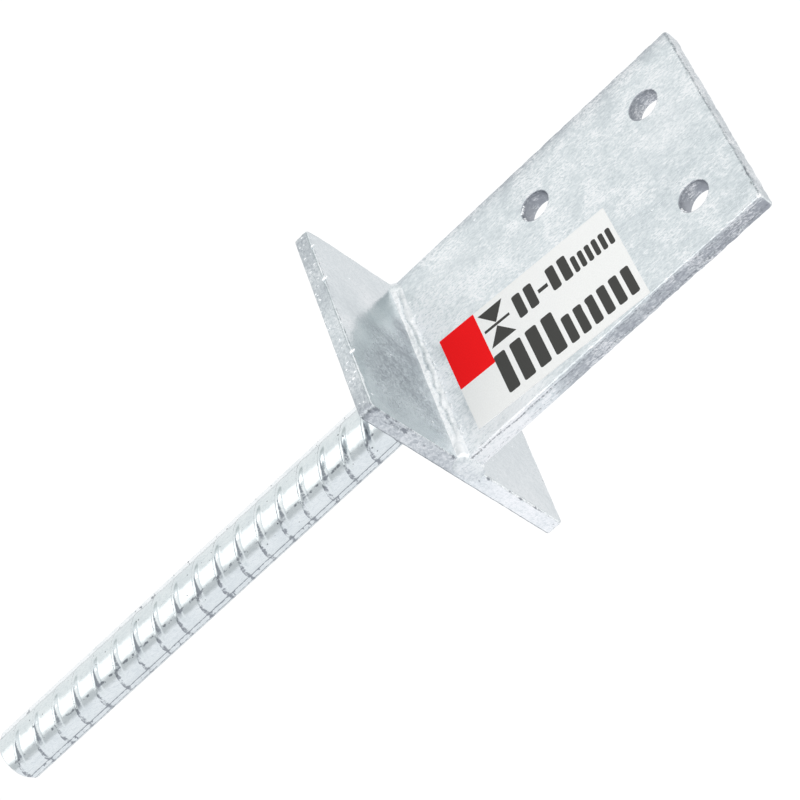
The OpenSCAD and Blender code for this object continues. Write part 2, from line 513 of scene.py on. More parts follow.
@dataclass
class FlatSteel:
    """Flat steel with eased edges and bored holes, as one closed mesh in its own plane, in mm.

    u and v lie in the plane and w goes through the thickness.
    """

    low: tuple[float, float]
    high: tuple[float, float]
    thickness: float
    hole_r: float = 0.0
    holes: list[tuple[float, float]] = field(default_factory=list)
    corner_r: float = 1.2
    edge_r: float = 0.8
    rim: float = 0.4
    wall_frost: float = 0.5
    face_frost: float = 1.0
    # How dark the painted shade is along the arris
    edge_shade_line: float = 0.38
    pit_mm: tuple[float, float] = (3.4, 1.3)
    pit_depth: float = 0.22
    pit_cover: float = 0.45
    pit_most: float = 1.4
    # How dark the painted shade is in pits, in seams and round the rims of holes, and how dark the crumbs of
    # dross are
    pit_shade_line: float = 0.3
    seam_shade_line: float = 0.62
    rim_shade_line: float = 0.3
    crumb_line: float = 0.7
    # Shade painted in the bores
    painted_bore_shade: float = -0.95
    # Spots of painted shade; a negative depth paints light
    painted_light_and_shade_spots: tuple[Spot, ...] = ()
    dross: list[Spot] = field(default_factory=list)
    drips: list[tuple[tuple[float, ...], tuple[float, ...]]] = field(default_factory=list)
    spacing: float = 0.8
    arc_steps: int = 4
    wall_steps: int = 14
    rim_points: int = 72

    def outline(self) -> tuple[np.ndarray, np.ndarray]:
        """Walks round the outline against the clock.

        Returns:
            The centre that each point is struck from, and its outward direction.
        """
        (u0, v0), (u1, v1), r = self.low, self.high, self.corner_r
        corners = [(u1 - r, v0 + r), (u1 - r, v1 - r), (u0 + r, v1 - r), (u0 + r, v0 + r)]
        centres, outward = [], []
        for i, (here, there) in enumerate(zip(corners, corners[1:] + corners[:1])):
            start = math.radians(-90 + 90 * i)
            for k in range(self.arc_steps + 1):
                angle = start + math.radians(90) * k / self.arc_steps
                centres.append(here)
                outward.append((math.cos(angle), math.sin(angle)))
            run = math.dist(here, there)
            steps = round(run / self.spacing)
            for k in range(1, steps):
                share = k / steps
                centres.append(tuple(a + (b - a) * share for a, b in zip(here, there)))
                outward.append(outward[-1])
        return np.array(centres), np.array(outward)

    def profile(self, radius: float) -> tuple[np.ndarray, np.ndarray, np.ndarray]:
        """Section of an edge from one face to the other.

        Args:
            radius: The radius that eases both of its corners.

        Returns:
            How far each ring lies in from the edge, its level, and how near it is to the arris.
        """
        turn = np.radians(90) * np.arange(self.arc_steps + 1) / self.arc_steps
        inset = radius * (1 - np.sin(turn))
        level = self.thickness / 2 - radius * (1 - np.cos(turn))
        near = np.sqrt(np.sin(2 * turn).clip(0))
        wall = np.linspace(level[-1], -level[-1], self.wall_steps + 1)[1:-1]
        flat = np.zeros_like(wall)
        return (np.concatenate([inset, flat, inset[::-1]]), np.concatenate([level, wall, -level[::-1]]),
                np.concatenate([near, flat, near[::-1]]))

    def grooves(self, centres: np.ndarray, outward: np.ndarray, level: float) -> np.ndarray:
        """Depth of the seams that shearing left in a wall, by place and level.

        Args:
            centres: Where each point of the ring is struck from.
            outward: Each point's outward direction.
            level: The ring's level.

        Returns:
            The depth at each point, in mm: none on plain flat steel.
        """
        return np.zeros(len(centres))

    def pits(self, ring: np.ndarray, level: float) -> np.ndarray:
        """Depth of the uneven pits in a wall, longer along it than across.

        Args:
            ring: Rows of (u, v).
            level: The ring's level.

        Returns:
            The depth at each point, in mm.
        """
        long, short = self.pit_mm
        rough = [noise.fractal((u / long, v / long, level / short), 0.7, 2.0, 3) for u, v in ring]
        return self.pit_depth * np.clip(self.pit_cover + np.array(rough), 0, self.pit_most)

    def tone(self, points: np.ndarray) -> np.ndarray:
        """The painted light and shade at each point, from 1 for painted light to -1 for painted shade.

        Args:
            points: Rows of (u, v, w).

        Returns:
            The value at each point: painted shade in the bores, where little light comes, and none
                elsewhere.
        """
        tone = np.zeros(len(points))
        for hole in self.holes:
            tone[np.hypot(*(points[:, :2] - hole).T) < self.hole_r + 0.7 * self.rim] = self.painted_bore_shade
        return tone

    def painted_spots_sum(self, points: np.ndarray) -> np.ndarray:
        """How much painted shade the spots put at each point, where a negative sum is painted light.

        Args:
            points: Rows of (u, v, w).

        Returns:
            The sum of the spots' depths at each point.
        """
        total = np.zeros(len(points))
        for u, v, r, depth in self.painted_light_and_shade_spots:
            total += depth * np.exp(-((points[:, 0] - u) ** 2 + (points[:, 1] - v) ** 2) / r ** 2)
        return total

    def frost(self, points: np.ndarray) -> np.ndarray:
        """How frosted the zinc is at each point of (u, v, w), from 0 to 1."""
        return np.where(self.on_wall(points), self.wall_frost, self.face_frost)

    def line(self, outward: np.ndarray, level: float) -> np.ndarray:
        """How strong the painted shade is along the arris, by the outline's outward direction and the level.
        """
        return np.full(len(outward), self.edge_shade_line)

    def sag(self, points: np.ndarray) -> np.ndarray:
        """How far the upper face drops at each point, in mm: nowhere on plain flat steel."""
        return np.zeros(len(points))

    def on_wall(self, points: np.ndarray) -> np.ndarray:
        """Tells which points lie on the outer walls and not on a face."""
        spots, reach = points[:, :2], 0.5 * self.edge_r
        return ((spots < np.add(self.low, reach)) | (spots > np.subtract(self.high, reach))).any(1)

    def mesh(self, name: str, turn: Matrix) -> bpy.types.Mesh:
        """Builds the closed mesh.

        Args:
            name: The mesh's name.
            turn: Matrix from (u, v, w) in mm to the frame in metres.

        Returns:
            The mesh, with attributes on its points for the dark line of painted shade and crumbs, for
            painted light and shade, and for frost.
        """
        points, arris, walls = self.rings()
        filling, triangles = self.fill(walls, np.concatenate(points))
        faces = self.faces(walls, triangles, sum(map(len, points)), len(filling))
        half = self.thickness / 2
        for sign in (1, -1):
            points.append(np.column_stack([filling, np.full(len(filling), sign * half)]))
            arris.append(np.zeros(len(filling)))
        spots = np.concatenate(points)
        level = np.clip(spots[:, 2] / half, 0, 1)
        lowered = np.column_stack([spots[:, :2], spots[:, 2] - level * self.sag(spots)])
        mesh = bpy.data.meshes.new(name)
        mesh.from_pydata(lowered.tolist(), [], [tuple(map(int, f)) for f in faces])
        dark = np.concatenate(arris)
        for u, v, w, r in self.dross:
            dark += self.crumb_line * np.exp(-((spots - (u, v, w)) ** 2).sum(1) / r ** 2)
        for label, values in (("arris", dark), ("tone", self.tone(spots)), ("frost", self.frost(spots))):
            mesh.attributes.new(label, "FLOAT", "POINT").data.foreach_set("value", values.astype(np.float32))
        bm = bmesh.new()
        bm.from_mesh(mesh)
        for place, radii in self.drips:
            shaped = Matrix.LocRotScale(Vector(place), None, Vector(radii))
            drip = bmesh.ops.create_icosphere(bm, subdivisions=4, radius=1.0, matrix=shaped)
            # Each drip gets a full painted highlight
            for vert in drip["verts"]:
                vert[bm.verts.layers.float["tone"]] = 1.0
        bm.to_mesh(mesh)
        bm.free()
        mesh.transform(turn)
        mesh.update()
        return mesh

    def rings(self) -> tuple[list[np.ndarray], list[np.ndarray], list[Wall]]:
        """Lays the rings of the outer wall and of each hole.

        Returns:
            The points of each ring as rows of (u, v, w), how much painted shade lies along each, and the
            walls that they form.
        """
        centres, outward = self.outline()
        inset, level, near = self.profile(self.edge_r)
        points, arris = [], []
        for d, w, a in zip(inset, level, near):
            seam, pit = self.grooves(centres, outward, w), self.pits(centres + outward, w)
            ring = centres + outward * (self.corner_r - d - seam - pit)[:, None]
            points.append(np.column_stack([ring, np.full(len(ring), w)]))
            # Shade is painted in the seams and pits, and along the arris
            crevice = np.maximum(
                np.clip(3 * seam, 0, self.seam_shade_line), np.clip(2 * pit - 0.22, 0, self.pit_shade_line))
            arris.append(np.maximum(a * self.line(outward, w), crevice))
        walls = [Wall(0, len(centres), len(level), False)]
        angle = 2 * math.pi * np.arange(self.rim_points) / self.rim_points
        circle = np.column_stack([np.cos(angle), np.sin(angle)])
        inset, level, near = self.profile(self.rim)
        for hole in self.holes:
            walls.append(Wall(sum(map(len, points)), self.rim_points, len(level), True))
            for d, w, a in zip(inset, level, near):
                ring = np.array(hole) + circle * (self.hole_r + d)
                points.append(np.column_stack([ring, np.full(len(ring), w)]))
                arris.append(np.full(len(ring), self.rim_shade_line * a))
        return points, arris, walls

    @staticmethod
    def faces(walls: list[Wall], triangles: list[tuple], total: int, inner: int) -> list[tuple[int, ...]]:
        """Joins the rings into walls and closes both faces.

        Args:
            walls: The outer wall and the holes.
            triangles: One face's triangles over the rims' points and then those inside the face.
            total: How many points the walls have.
            inner: How many points lie inside a face.

        Returns:
            The faces as rows of point numbers: the walls, the upper face and the lower one.
        """
        faces = []
        for start, count, rings, inward in walls:
            for i in range(rings - 1):
                for j in range(count):
                    a, b = start + i * count + j, start + i * count + (j + 1) % count
                    quad = (a, a + count, b + count, b)
                    faces.append(quad[::-1] if inward else quad)
        for sign in (1, -1):
            shift = total + (inner if sign < 0 else 0)
            rim_ids = [w.start + (w.rings - 1 if sign < 0 else 0) * w.count + j
                       for w in walls for j in range(w.count)]
            ids = np.array(rim_ids + [shift + k for k in range(inner)])
            faces.extend(tuple(ids[list(t)][::sign]) for t in triangles)
        return faces

    def fill(self, walls: list[Wall], points: np.ndarray) -> tuple[np.ndarray, list[tuple]]:
        """Fills one face with even triangles between the outline and the holes.

        Args:
            walls: The outer wall and the holes.
            points: All the walls' points.

        Returns:
            The points inside the face, and triangles over the rims' points followed by those.
        """
        row = self.spacing * math.sqrt(3) / 2
        margin = self.edge_r + 0.5 * self.spacing
        us = np.arange(self.low[0] + margin, self.high[0] - margin, self.spacing)
        vs = np.arange(self.low[1] + margin, self.high[1] - margin, row)
        grid = np.array([(u + (k % 2) * 0.5 * self.spacing, v) for k, v in enumerate(vs) for u in us])
        keep = grid[:, 0] < self.high[0] - margin
        for hole in self.holes:
            keep &= np.hypot(*(grid - hole).T) > self.hole_r + self.rim + 0.5 * self.spacing
        grid = grid[keep]
        rims, edges = [], []
        for start, count, _, _ in walls:
            base = sum(map(len, rims))
            rims.append(points[start:start + count, :2])
            edges.extend((base + j, base + (j + 1) % count) for j in range(count))
        flat = np.concatenate(rims + [grid])
        _, _, triangles, origins, _, _ = delaunay_2d_cdt([Vector(p) for p in flat], edges, [], 0, 1e-7)
        ids = [o[0] for o in origins]
        inside = (self.hole_r + self.rim) * math.cos(math.pi / self.rim_points)
        kept = []
        for t in triangles:
            tri = tuple(ids[k] for k in t)
            middle = flat[list(tri)].mean(0)
            if all(np.hypot(*(middle - hole)) > inside for hole in self.holes):
                kept.append(tri)
        return grid, kept


@dataclass
class Blade(FlatSteel):
    """The upright blade: sheared flat bar, drilled, with shear seams along its two long edges."""

    foot: float = 6.0
    sunk: float = 0.3
    front_seam: float = -1.9
    back_seam: float = 1.7
    seam_w: float = 0.45
    seam_depth: float = 0.38
    # Heights on the side walls and the light painted there: light near the foot and shade above, with a step
    # across the front seam
    wall_levels: tuple[float, ...] = (28.0, 50.0, 80.0, 115.0)
    painted_wall_light: tuple[float, ...] = (0.95, -0.5, -0.5, -0.8)
    painted_light_by_seam: tuple[float, float] = (0.25, -0.1)
    # Shade painted along the face's -X edge, light painted along the foot, deeper frost there, and shade
    # painted on the top face and along its arris
    painted_edge_shade: tuple[float, float] = (0.8, 2.8)
    painted_foot_light: float = 1.1
    foot_frost: float = 0.7
    painted_top_shade: float = -0.25
    top_shade_line: float = 0.62
    # Spots of painted shade on the face; a negative depth paints light
    painted_light_and_shade_spots: tuple[Spot, ...] = (
        (-31.0, 119.0, 8.0, -0.15), (-38.0, 100.0, 7.0, 0.08), (13.0, 108.0, 6.0, 0.06),
        (-31.0, 62.0, 6.0, 0.08), (-9.0, 116.0, 10.0, -0.3), (-36.0, 30.0, 8.0, -0.1),
        (41.0, 30.0, 12.0, -1.0))
    wall_frost: float = 1.0
    pit_shade_line: float = 0.8

    @classmethod
    def from_frame(cls) -> "Blade":
        """Reads the blade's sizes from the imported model, and sets the drips and crumbs on it.

        Returns:
            The blade.
        """
        low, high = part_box("upright_blade")
        bolts = next(m for m in frame["record"]["mounts"] if m["name"] == "post_bolts")
        dims, middle = bolts["dims"], bolts["pos_m"]
        hole_r = dims["hole_r_mm"]
        half_x, half_z = dims["spacing_x_mm"] / 2, dims["spacing_y_mm"] / 2
        holes = [(sx * half_x, middle[2] / MM + sz * half_z) for sx in (-1, 1) for sz in (-1, 1)]
        foot, right, top, half = low.z / MM, high.x / MM, high.z / MM, high.y / MM
        drips = [((right - 0.8, top - 1.0, half), (1.0, 0.8, 0.5))]
        draws = np.random.default_rng(4)

        # Spurs that stand on the bead, and crusted beads in the rims of two holes
        for u in draws.uniform(7 - right, right - 9, 34):
            long = draws.triangular(0.35, 0.5, 1.2)
            drips.append(((u, foot + 2.9 + 0.4 * long, half), (draws.uniform(0.25, 0.5), long, 0.3)))
        for hole, first, last, count in ((holes[0], 205, 305, 11), (holes[3], 225, 300, 5)):
            for angle in np.radians(draws.uniform(first, last, count)):
                away = hole_r + draws.uniform(-0.1, 0.3)
                u, v = hole[0] + away * math.cos(angle), hole[1] + away * math.sin(angle)
                drips.append(((u, v, half - draws.uniform(0.1, 0.7)), draws.uniform(0.25, 0.5, 3)))
        dross = [(right - 14, top - 1.3, half, 1.0), (right - 11.5, top - 0.8, half, 0.7)]
        return cls(low=(low.x / MM, foot - 4), high=(right, top), thickness=2 * half, hole_r=hole_r,
                   holes=holes, foot=foot, drips=drips, dross=dross)

    def grooves(self, centres: np.ndarray, outward: np.ndarray, level: float) -> np.ndarray:
        """Depth of the two shear seams on the long edges.

        Args:
            centres: Where each point of the ring is struck from.
            outward: Each point's outward direction.
            level: The ring's level.

        Returns:
            The depth at each point, in mm.
        """
        z = centres[:, 1]
        rise = z / self.high[1]
        depth = np.zeros(len(z))
        for seam, share in ((self.front_seam, 1 - 0.35 * rise), (self.back_seam, 0.4 + 0.6 * rise)):
            path = seam + 0.3 * np.sin(z / 13 + seam) + 0.16 * np.sin(z / 3.7) + 0.1 * np.sin(z / 1.9)
            break_up = np.sin(z / 4.3 + 3 * seam) * np.sin(z / 1.7) * np.clip((z - 10) / 60, 0.2, 1)
            within = np.exp(-((-level - path) / self.seam_w) ** 2)
            depth += self.seam_depth * share * (0.85 + 0.35 * break_up) * within
        return np.where(np.abs(outward[:, 0]) > 0.99, depth, 0.0)

    def tone(self, points: np.ndarray) -> np.ndarray:
        """Paints shade on the side walls that turns to painted light towards the foot, and paints light and
        shade on the face and the top.

        Args:
            points: Rows of (u, v, w).

        Returns:
            The painted light and shade at each point.
        """
        u, v = points[:, 0], points[:, 1]
        tone = super().tone(points)
        face = tone == 0
        # Shade painted along the face's -X edge and in spots, and light painted along the foot
        depth, width = self.painted_edge_shade
        band = depth * np.exp(-(u - self.low[0]) / width) * np.clip(v / 60, 0.3, 1)
        band += self.painted_spots_sum(points) - self.painted_foot_light * self.near_foot(points)
        tone[face] -= band[face]
        # Light and shade painted on the side walls by height and by side of the front seam, and shade
        # painted on the top face
        side = np.abs(u) > self.high[0] - 0.5 * self.edge_r
        top = v > self.high[1] - 0.5 * self.edge_r
        wall = np.interp(v, self.wall_levels, self.painted_wall_light)
        wall += np.where(points[:, 2] > -self.front_seam, *self.painted_light_by_seam)
        return np.where(top, self.painted_top_shade, np.where(side, wall, tone))

    def pits(self, ring: np.ndarray, level: float) -> np.ndarray:
        """Depth of the pits, which zinc fills near the foot. See FlatSteel.pits."""
        return super().pits(ring, level) * np.clip((ring[:, 1] - 20) / 40, 0.4, 1.55)

    def frost(self, points: np.ndarray) -> np.ndarray:
        """How frosted the zinc is: most near the foot. See FlatSteel.frost."""
        return super().frost(points) + self.foot_frost * self.near_foot(points)

    def near_foot(self, points: np.ndarray) -> np.ndarray:
        """How near each point of the face is to the foot, where the blade came last out of the bath: the
        frost is deeper there and light is painted along it.
        """
        return np.exp(-(points[:, 1] - self.foot) / 16) * np.clip((points[:, 0] + 42) / 25, 0, 1)

    def line(self, outward: np.ndarray, level: float) -> np.ndarray:
        """How strong the painted shade is along the arris: most along the top and at -X. See FlatSteel.line.
        """
        return np.where(outward[:, 1] - outward[:, 0] > 0.7, self.top_shade_line, self.edge_shade_line)

    def build(self, zinc: bpy.types.Material, coat: ZincCoat) -> bpy.types.Object:
        """Builds the coated blade, cut square where it stands on the plate.

        Args:
            zinc: The finish.
            coat: The uneven skin.

        Returns:
            The object.
        """
        upright = Matrix(((MM, 0, 0, 0), (0, 0, -MM, 0), (0, MM, 0, 0), (0, 0, 0, 1)))
        mesh = self.mesh("blade_steel", upright)
        bm = bmesh.new()
        bm.from_mesh(mesh)
        cut = bmesh.ops.bisect_plane(
            bm, geom=bm.verts[:] + bm.edges[:] + bm.faces[:], plane_co=(0, 0, (self.foot - self.sunk) * MM),
            plane_no=(0, 0, -1), clear_outer=True)
        rim = [e for e in cut["geom_cut"] if isinstance(e, bmesh.types.BMEdge)]
        bmesh.ops.edgeloop_fill(bm, edges=rim)
        bmesh.ops.recalc_face_normals(bm, faces=bm.faces[:])
        bm.to_mesh(mesh)
        bm.free()
        return coat.over("blade", mesh, zinc)


@dataclass
class Plate(FlatSteel):
    """The base plate: a square of the same flat steel, lying level, with smooth faces and frosted walls."""

    corner_r: float = 2.2
    wall_frost: float = 0.6
    pit_depth: float = 0.13
    face_frost: float = 0.3
    rim_w: float = 3.2
    sag_depth: float = 0.35
    fold_levels: tuple[float, ...] = (1.9, 0.7)
    fold_depth: float = 0.34
    fold_w: float = 0.4
    # Light and shade painted on the plate: shade on the front wall with light in its middle, shade on the
    # face at the front towards -X, light along the front rim, shade at the front corner at +X, shade on the
    # wall at +X that turns to light, and shade on the rolled strip at the front
    painted_front_wall_shade: float = -0.55
    painted_front_wall_light: tuple[float, float, float] = (5.0, 24.0, 0.35)
    painted_front_shade: tuple[float, float] = (0.4, 2.2)
    painted_rim_light: float = 0.2
    rim_frost: float = 0.65
    painted_corner_shade: tuple[float, float] = (2.5, 0.6)
    side_places: tuple[float, float] = (-6.0, 12.0)
    painted_side_wall_light: tuple[float, float] = (-0.55, 0.45)
    painted_rolled_shade: float = -0.1
    # Spots of painted shade on the face; a negative depth paints light
    painted_light_and_shade_spots: tuple[Spot, ...] = (
        (11.0, -21.0, 17.0, 0.9), (-19.0, -18.0, 10.0, -0.7), (31.0, -10.0, 9.0, 0.45),
        (38.0, 30.0, 15.0, -0.2), (-18.0, -9.0, 7.0, 0.95), (-6.0, -11.0, 8.0, 0.5),
        (-9.0, -21.0, 7.0, 0.3), (3.0, -37.0, 7.0, -0.5), (24.0, -33.0, 8.0, 0.38),
        (37.0, -33.0, 8.0, 0.3), (-30.0, -13.0, 5.0, -0.2))

    @classmethod
    def from_frame(cls) -> "Plate":
        """Reads the plate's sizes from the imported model, and sets the drips and crumbs on it.

        Returns:
            The plate.
        """
        low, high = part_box("base_plate")
        x, y, w = high.x / MM, high.y / MM, (high.z - low.z) / 2 / MM
        dross = [
            (x, -0.30 * y, w, 0.5), (x, 0.97 * y, 0.0, 0.8), (x, 0.42 * y, w, 0.5),
            (x, 0.70 * y, 0.9 * w, 0.6), (x, -0.62 * y, w, 0.6), (x, -0.84 * y, 0.8 * w, 0.8),
            (x, -0.95 * y, 0.9 * w, 0.9), (-x, -y, w, 1.0), (x - 0.6, 0.6 - y, -1.6, 1.3),
            (x - 0.6, 0.6 - y, 0.9, 1.2),
            (x, -0.17 * y, 2.2, 0.9), (x, 0.2 * y, 2.3, 0.8)]
        drips = [((-0.40 * x, -y, w), (0.75, 0.5, 1.2)), ((0.42 * x, -y, w), (0.7, 0.5, 1.1)),
                 ((-0.78 * x, -y, w), (0.5, 0.4, 0.8))]
        draws = np.random.default_rng(6)
        for u in draws.uniform(2 - x, x - 3, 26):
            level, wide, tall = (draws.triangular(*span) for span in (
                (0.3, 0.5, 5.0), (0.12, 0.2, 0.45), (0.15, 0.25, 0.8)))
            drips.append(((u, -y, level - w), (wide, 0.25, tall)))
        for v in draws.uniform(-y, y, 16):
            dross.append((x, v, w - draws.triangular(0, 0, 4), draws.triangular(0.25, 0.3, 0.9)))
        return cls(low=(low.x / MM, low.y / MM), high=(x, y), thickness=2 * w, dross=dross, drips=drips)

    def tone(self, points: np.ndarray) -> np.ndarray:
        """Paints shade on the wall at +X that turns to painted light, and paints light and shade on the face
        and the front wall.

        Args:
            points: Rows of (u, v, w).

        Returns:
            The painted light and shade at each point.
        """
        u, v, w = points.T
        side = u > self.high[0] - 0.5 * self.edge_r
        front = v < self.low[1] + 0.5 * self.edge_r
        # Light painted along the front rim, spots of painted shade and light, and shade painted at the front
        # towards -X
        face = self.painted_rim_light * self.front_rim(points) - self.painted_spots_sum(points)
        shade, shade_w = self.painted_front_shade
        face -= shade * np.exp(-(v - self.low[1]) / shade_w) * np.clip(0.4 - u / 45, 0, 1)
        # Shade painted on the front wall with light in its middle, on the wall at +X turning to light, and
        # at the front corner at +X
        glow_u, glow_r, glow = self.painted_front_wall_light
        front_wall = self.painted_front_wall_shade + glow * np.exp(-((u - glow_u) / glow_r) ** 2)
        side_wall = np.interp(v, self.side_places, self.painted_side_wall_light)
        dim_r, dim = self.painted_corner_shade
        corner = np.exp(-(np.hypot(u - self.high[0], v - self.low[1]) / dim_r) ** 2)
        tone = np.where(front, front_wall, np.where(side, side_wall, face)) - dim * corner
        rolled = (v < self.low[1] + 0.9) & (w > self.thickness / 2 - 0.75) & (u < self.high[0] - 3)
        return np.where(rolled, self.painted_rolled_shade, tone)

    def frost(self, points: np.ndarray) -> np.ndarray:
        """How frosted the zinc is: the front wall's frost reaches onto the face. See FlatSteel.frost."""
        return np.maximum(super().frost(points), self.rim_frost * self.front_rim(points))

    def front_rim(self, points: np.ndarray) -> np.ndarray:
        """How near each point is to the plate's front edge: a strip that is widest at -X."""
        width = self.rim_w * (1.2 - 0.7 * points[:, 0] / self.high[0])
        return np.exp(-((points[:, 1] - self.low[1]) / width) ** 2)

    def sag(self, points: np.ndarray) -> np.ndarray:
        """How far the upper face rolls off towards the front edge. See FlatSteel.sag."""
        return self.sag_depth * self.front_rim(points)

    def grooves(self, centres: np.ndarray, outward: np.ndarray, level: float) -> np.ndarray:
        """Depth of the folds along the wall at +X, which die away from its front corner.

        Args:
            centres: Where each point of the ring is struck from.
            outward: Each point's outward direction.
            level: The ring's level.

        Returns:
            The depth at each point, in mm.
        """
        v = centres[:, 1]
        fade = np.exp(-((v - self.low[1]) / 32) ** 2) * (0.7 + 0.3 * np.sin(v / 2.9))
        depth = np.zeros(len(v))
        for k, fold in enumerate(self.fold_levels):
            path = fold + 0.35 * np.sin(v / 4.1 + 2 * k) + 0.2 * np.sin(v / 1.7 + k)
            depth += self.fold_depth * fade * np.exp(-((level - path) / self.fold_w) ** 2)
        return np.where(outward[:, 0] > 0.9, depth, 0.0)

    def line(self, outward: np.ndarray, level: float) -> np.ndarray:
        """How strong the painted shade is along the arris: none along the front. See FlatSteel.line."""
        strength = np.where(outward[:, 0] > 0.7, 0.5 if level > 0 else 0.8, 1.0)
        return np.where(outward[:, 1] < -0.7, 0.0, strength)

    def build(self, zinc: bpy.types.Material, coat: ZincCoat) -> bpy.types.Object:
        """Builds the coated plate.

        Args:
            zinc: The finish.
            coat: The uneven skin.

        Returns:
            The object.
        """
        level = Matrix.Translation((0, 0, self.thickness / 2 * MM)) @ Matrix.Scale(MM, 4)
        return coat.over("base", self.mesh("plate_steel", level), zinc)


@dataclass(frozen=True)
class BarPlace:
    """Where a point lies on the bar, as nodes of its tree.

    cosine and sine are those of the angle from a lengthwise rib, side is the distance from that rib's
    middle, and gap is the height over the middle of the nearest crescent. ribbed is 1 between the first
    crescent and the last, and on_seam is 1 on a lengthwise rib.
    """

    cosine: bpy.types.Node
    sine: bpy.types.Node
    side: bpy.types.Node
    gap: bpy.types.Node
    lean_cosine: bpy.types.Node
    ribbed: bpy.types.Node
    on_seam: bpy.types.Node
    seam_foot: bpy.types.NodeSocket


@dataclass
class RibbedBar:
    """Hot-rolled reinforcing bar: a round core, two lengthwise ribs and leaning crescents between them.

    A fade is four values: the two between which it runs, and what it gives at each of them.
    """

    length: float
    core_r: float = 8.7
    turn: float = 38.0
    rib_h: float = 1.1
    rib_lip: tuple[float, float] = (0.10, 0.30)
    lower_foot: float = -1.1
    crest: tuple[float, float] = (-0.65, 0.05)
    upper_foot: float = 1.9
    rib_pitch: float = 10.15
    rib_lean: float = 29.0
    rib_first: float = 10.9
    rib_last: int = 18
    seam_h: float = 1.15
    seam_crest: float = 2.0
    seam_foot: float = 4.2
    # Light painted on the seams at one side of the bar, and a little shade at the other
    painted_seam_light: tuple[float, float] = (1.0, -0.05)
    # How wide and how dark the painted shade is along the crescents' lower feet and the seams' feet and
    # crests
    line_w: float = 0.34
    foot_shade_line: float = 1.0
    seam_foot_shade_line: float = 0.9
    seam_crest_shade_line: float = 0.75
    seam_line_fade: tuple[float, ...] = (-0.5, 0.5, 0.6, 1.25)
    line_fade: tuple[float, ...] = (0.4, 0.56, 0.65, 1.25)
    crumb_w: tuple[float, float] = (0.3, 1.3)
    crumb_line: float = 0.7
    crumb_fade: tuple[float, ...] = (0.15, 0.4, 0.0, 1.0)
    # A broken dark streak along the bar at one angle round it
    dark_streak_cosine: float = 0.3
    dark_streak_w: tuple[float, float] = (0.02, 0.1)
    dark_streak_fade: tuple[float, ...] = (0.45, 0.6, 0.1, 1.0)
    shadow_span: tuple[float, float] = (-0.45, 0.3)
    shadow_w: tuple[float, float] = (0.2, 1.35)
    shadow_tone: float = -1.15
    frost: float = 0.35
    end_bevel: float = 1.4
    pit_mm: float = 2.2
    pit_height_mm: float = 0.12
    speck_mm: float = 1.5
    speck_fade: tuple[float, ...] = (0.64, 0.72, 0.0, 0.9)
    around: int = 136
    along: int = 710

    def build(self, zinc: bpy.types.Material) -> bpy.types.Object:
        """Grows the bar in Geometry Nodes from a plain cylinder, by a radius at each angle and height.

        Args:
            zinc: The finish.

        Returns:
            The object.
        """
        shape = ShapeTree("ribbed_bar")
        tree = shape.tree
        core = shape.given("Core Radius", self.core_r * MM)
        length = shape.given("Length", self.length * MM)
        stock = add(tree, "GeometryNodeMeshCylinder", fill_type="TRIANGLE_FAN", inputs={
            "Vertices": shape.given("Points Around", self.around),
            "Side Segments": shape.given("Rings Along", self.along), "Fill Segments": 6, "Radius": core,
            "Depth": length})
        spot = add(tree, TO_XYZ, add(tree, "GeometryNodeInputPosition"))
        x, y, height = spot.outputs
        half = add(tree, MATH, length, 0.5, operation="MULTIPLY")
        z = add(tree, MATH, height, half, operation="SUBTRACT")
        angle = add(tree, MATH, y, x, operation="ARCTAN2")
        angle = add(tree, MATH, angle, shape.given("Turn", math.radians(self.turn)), operation="SUBTRACT")
        at = self.locate(shape, core, angle, z)
        pits = add(tree, NOISE, inputs={"Scale": 1 / (self.pit_mm * MM), "Detail": 3.0, "Roughness": 0.6})

        # The crescents and the two lengthwise ribs, where the rolls met, over a pitted core
        seam = add(tree, RANGE, at.side, at.seam_foot, shape.given("Seam Crest", self.seam_crest / 2 * MM),
                   0.0, shape.given("Seam Height", self.seam_h * MM))
        ribs = add(tree, MATH, self.crescents(shape, core, at), seam, operation="MAXIMUM")
        pit = add(tree, MATH, pits, 0.5, operation="SUBTRACT")
        pit = add(tree, MATH, pit, shape.given("Pit Height", self.pit_height_mm * MM), operation="MULTIPLY")
        radius = add(tree, MATH, core, ribs, operation="ADD")
        radius = add(tree, MATH, radius, pit, operation="ADD")

        # The bevel round the free end
        bevel = shape.given("End Bevel", self.end_bevel * MM)
        most = shape.given("Reach", (self.core_r + self.seam_h) * MM)
        above = add(tree, MATH, z, length, operation="ADD")
        limit = add(tree, MATH, add(tree, MATH, most, bevel, operation="SUBTRACT"), above, operation="ADD")
        radius = add(tree, MATH, radius, limit, operation="MINIMUM")
        grown = add(tree, MATH, radius, core, operation="DIVIDE")
        x, y = (add(tree, MATH, way, grown, operation="MULTIPLY") for way in (x, y))
        place = add(tree, FROM_XYZ, x, y, z)
        for label, value in (("arris", self.painted_shade_lines_and_crumbs(shape, at, pits)), ("tone", self.tone(tree, at)),
                             ("frost", self.frost)):
            stock = add(tree, STORE, data_type="FLOAT", domain="POINT", inputs={
                "Geometry": stock, "Name": label, "Value": value})
        shape.close(add(tree, MOVE, inputs={"Geometry": stock, "Position": place}), zinc)
        return shape.grow("bar", bpy.data.meshes.new("bar_start"))

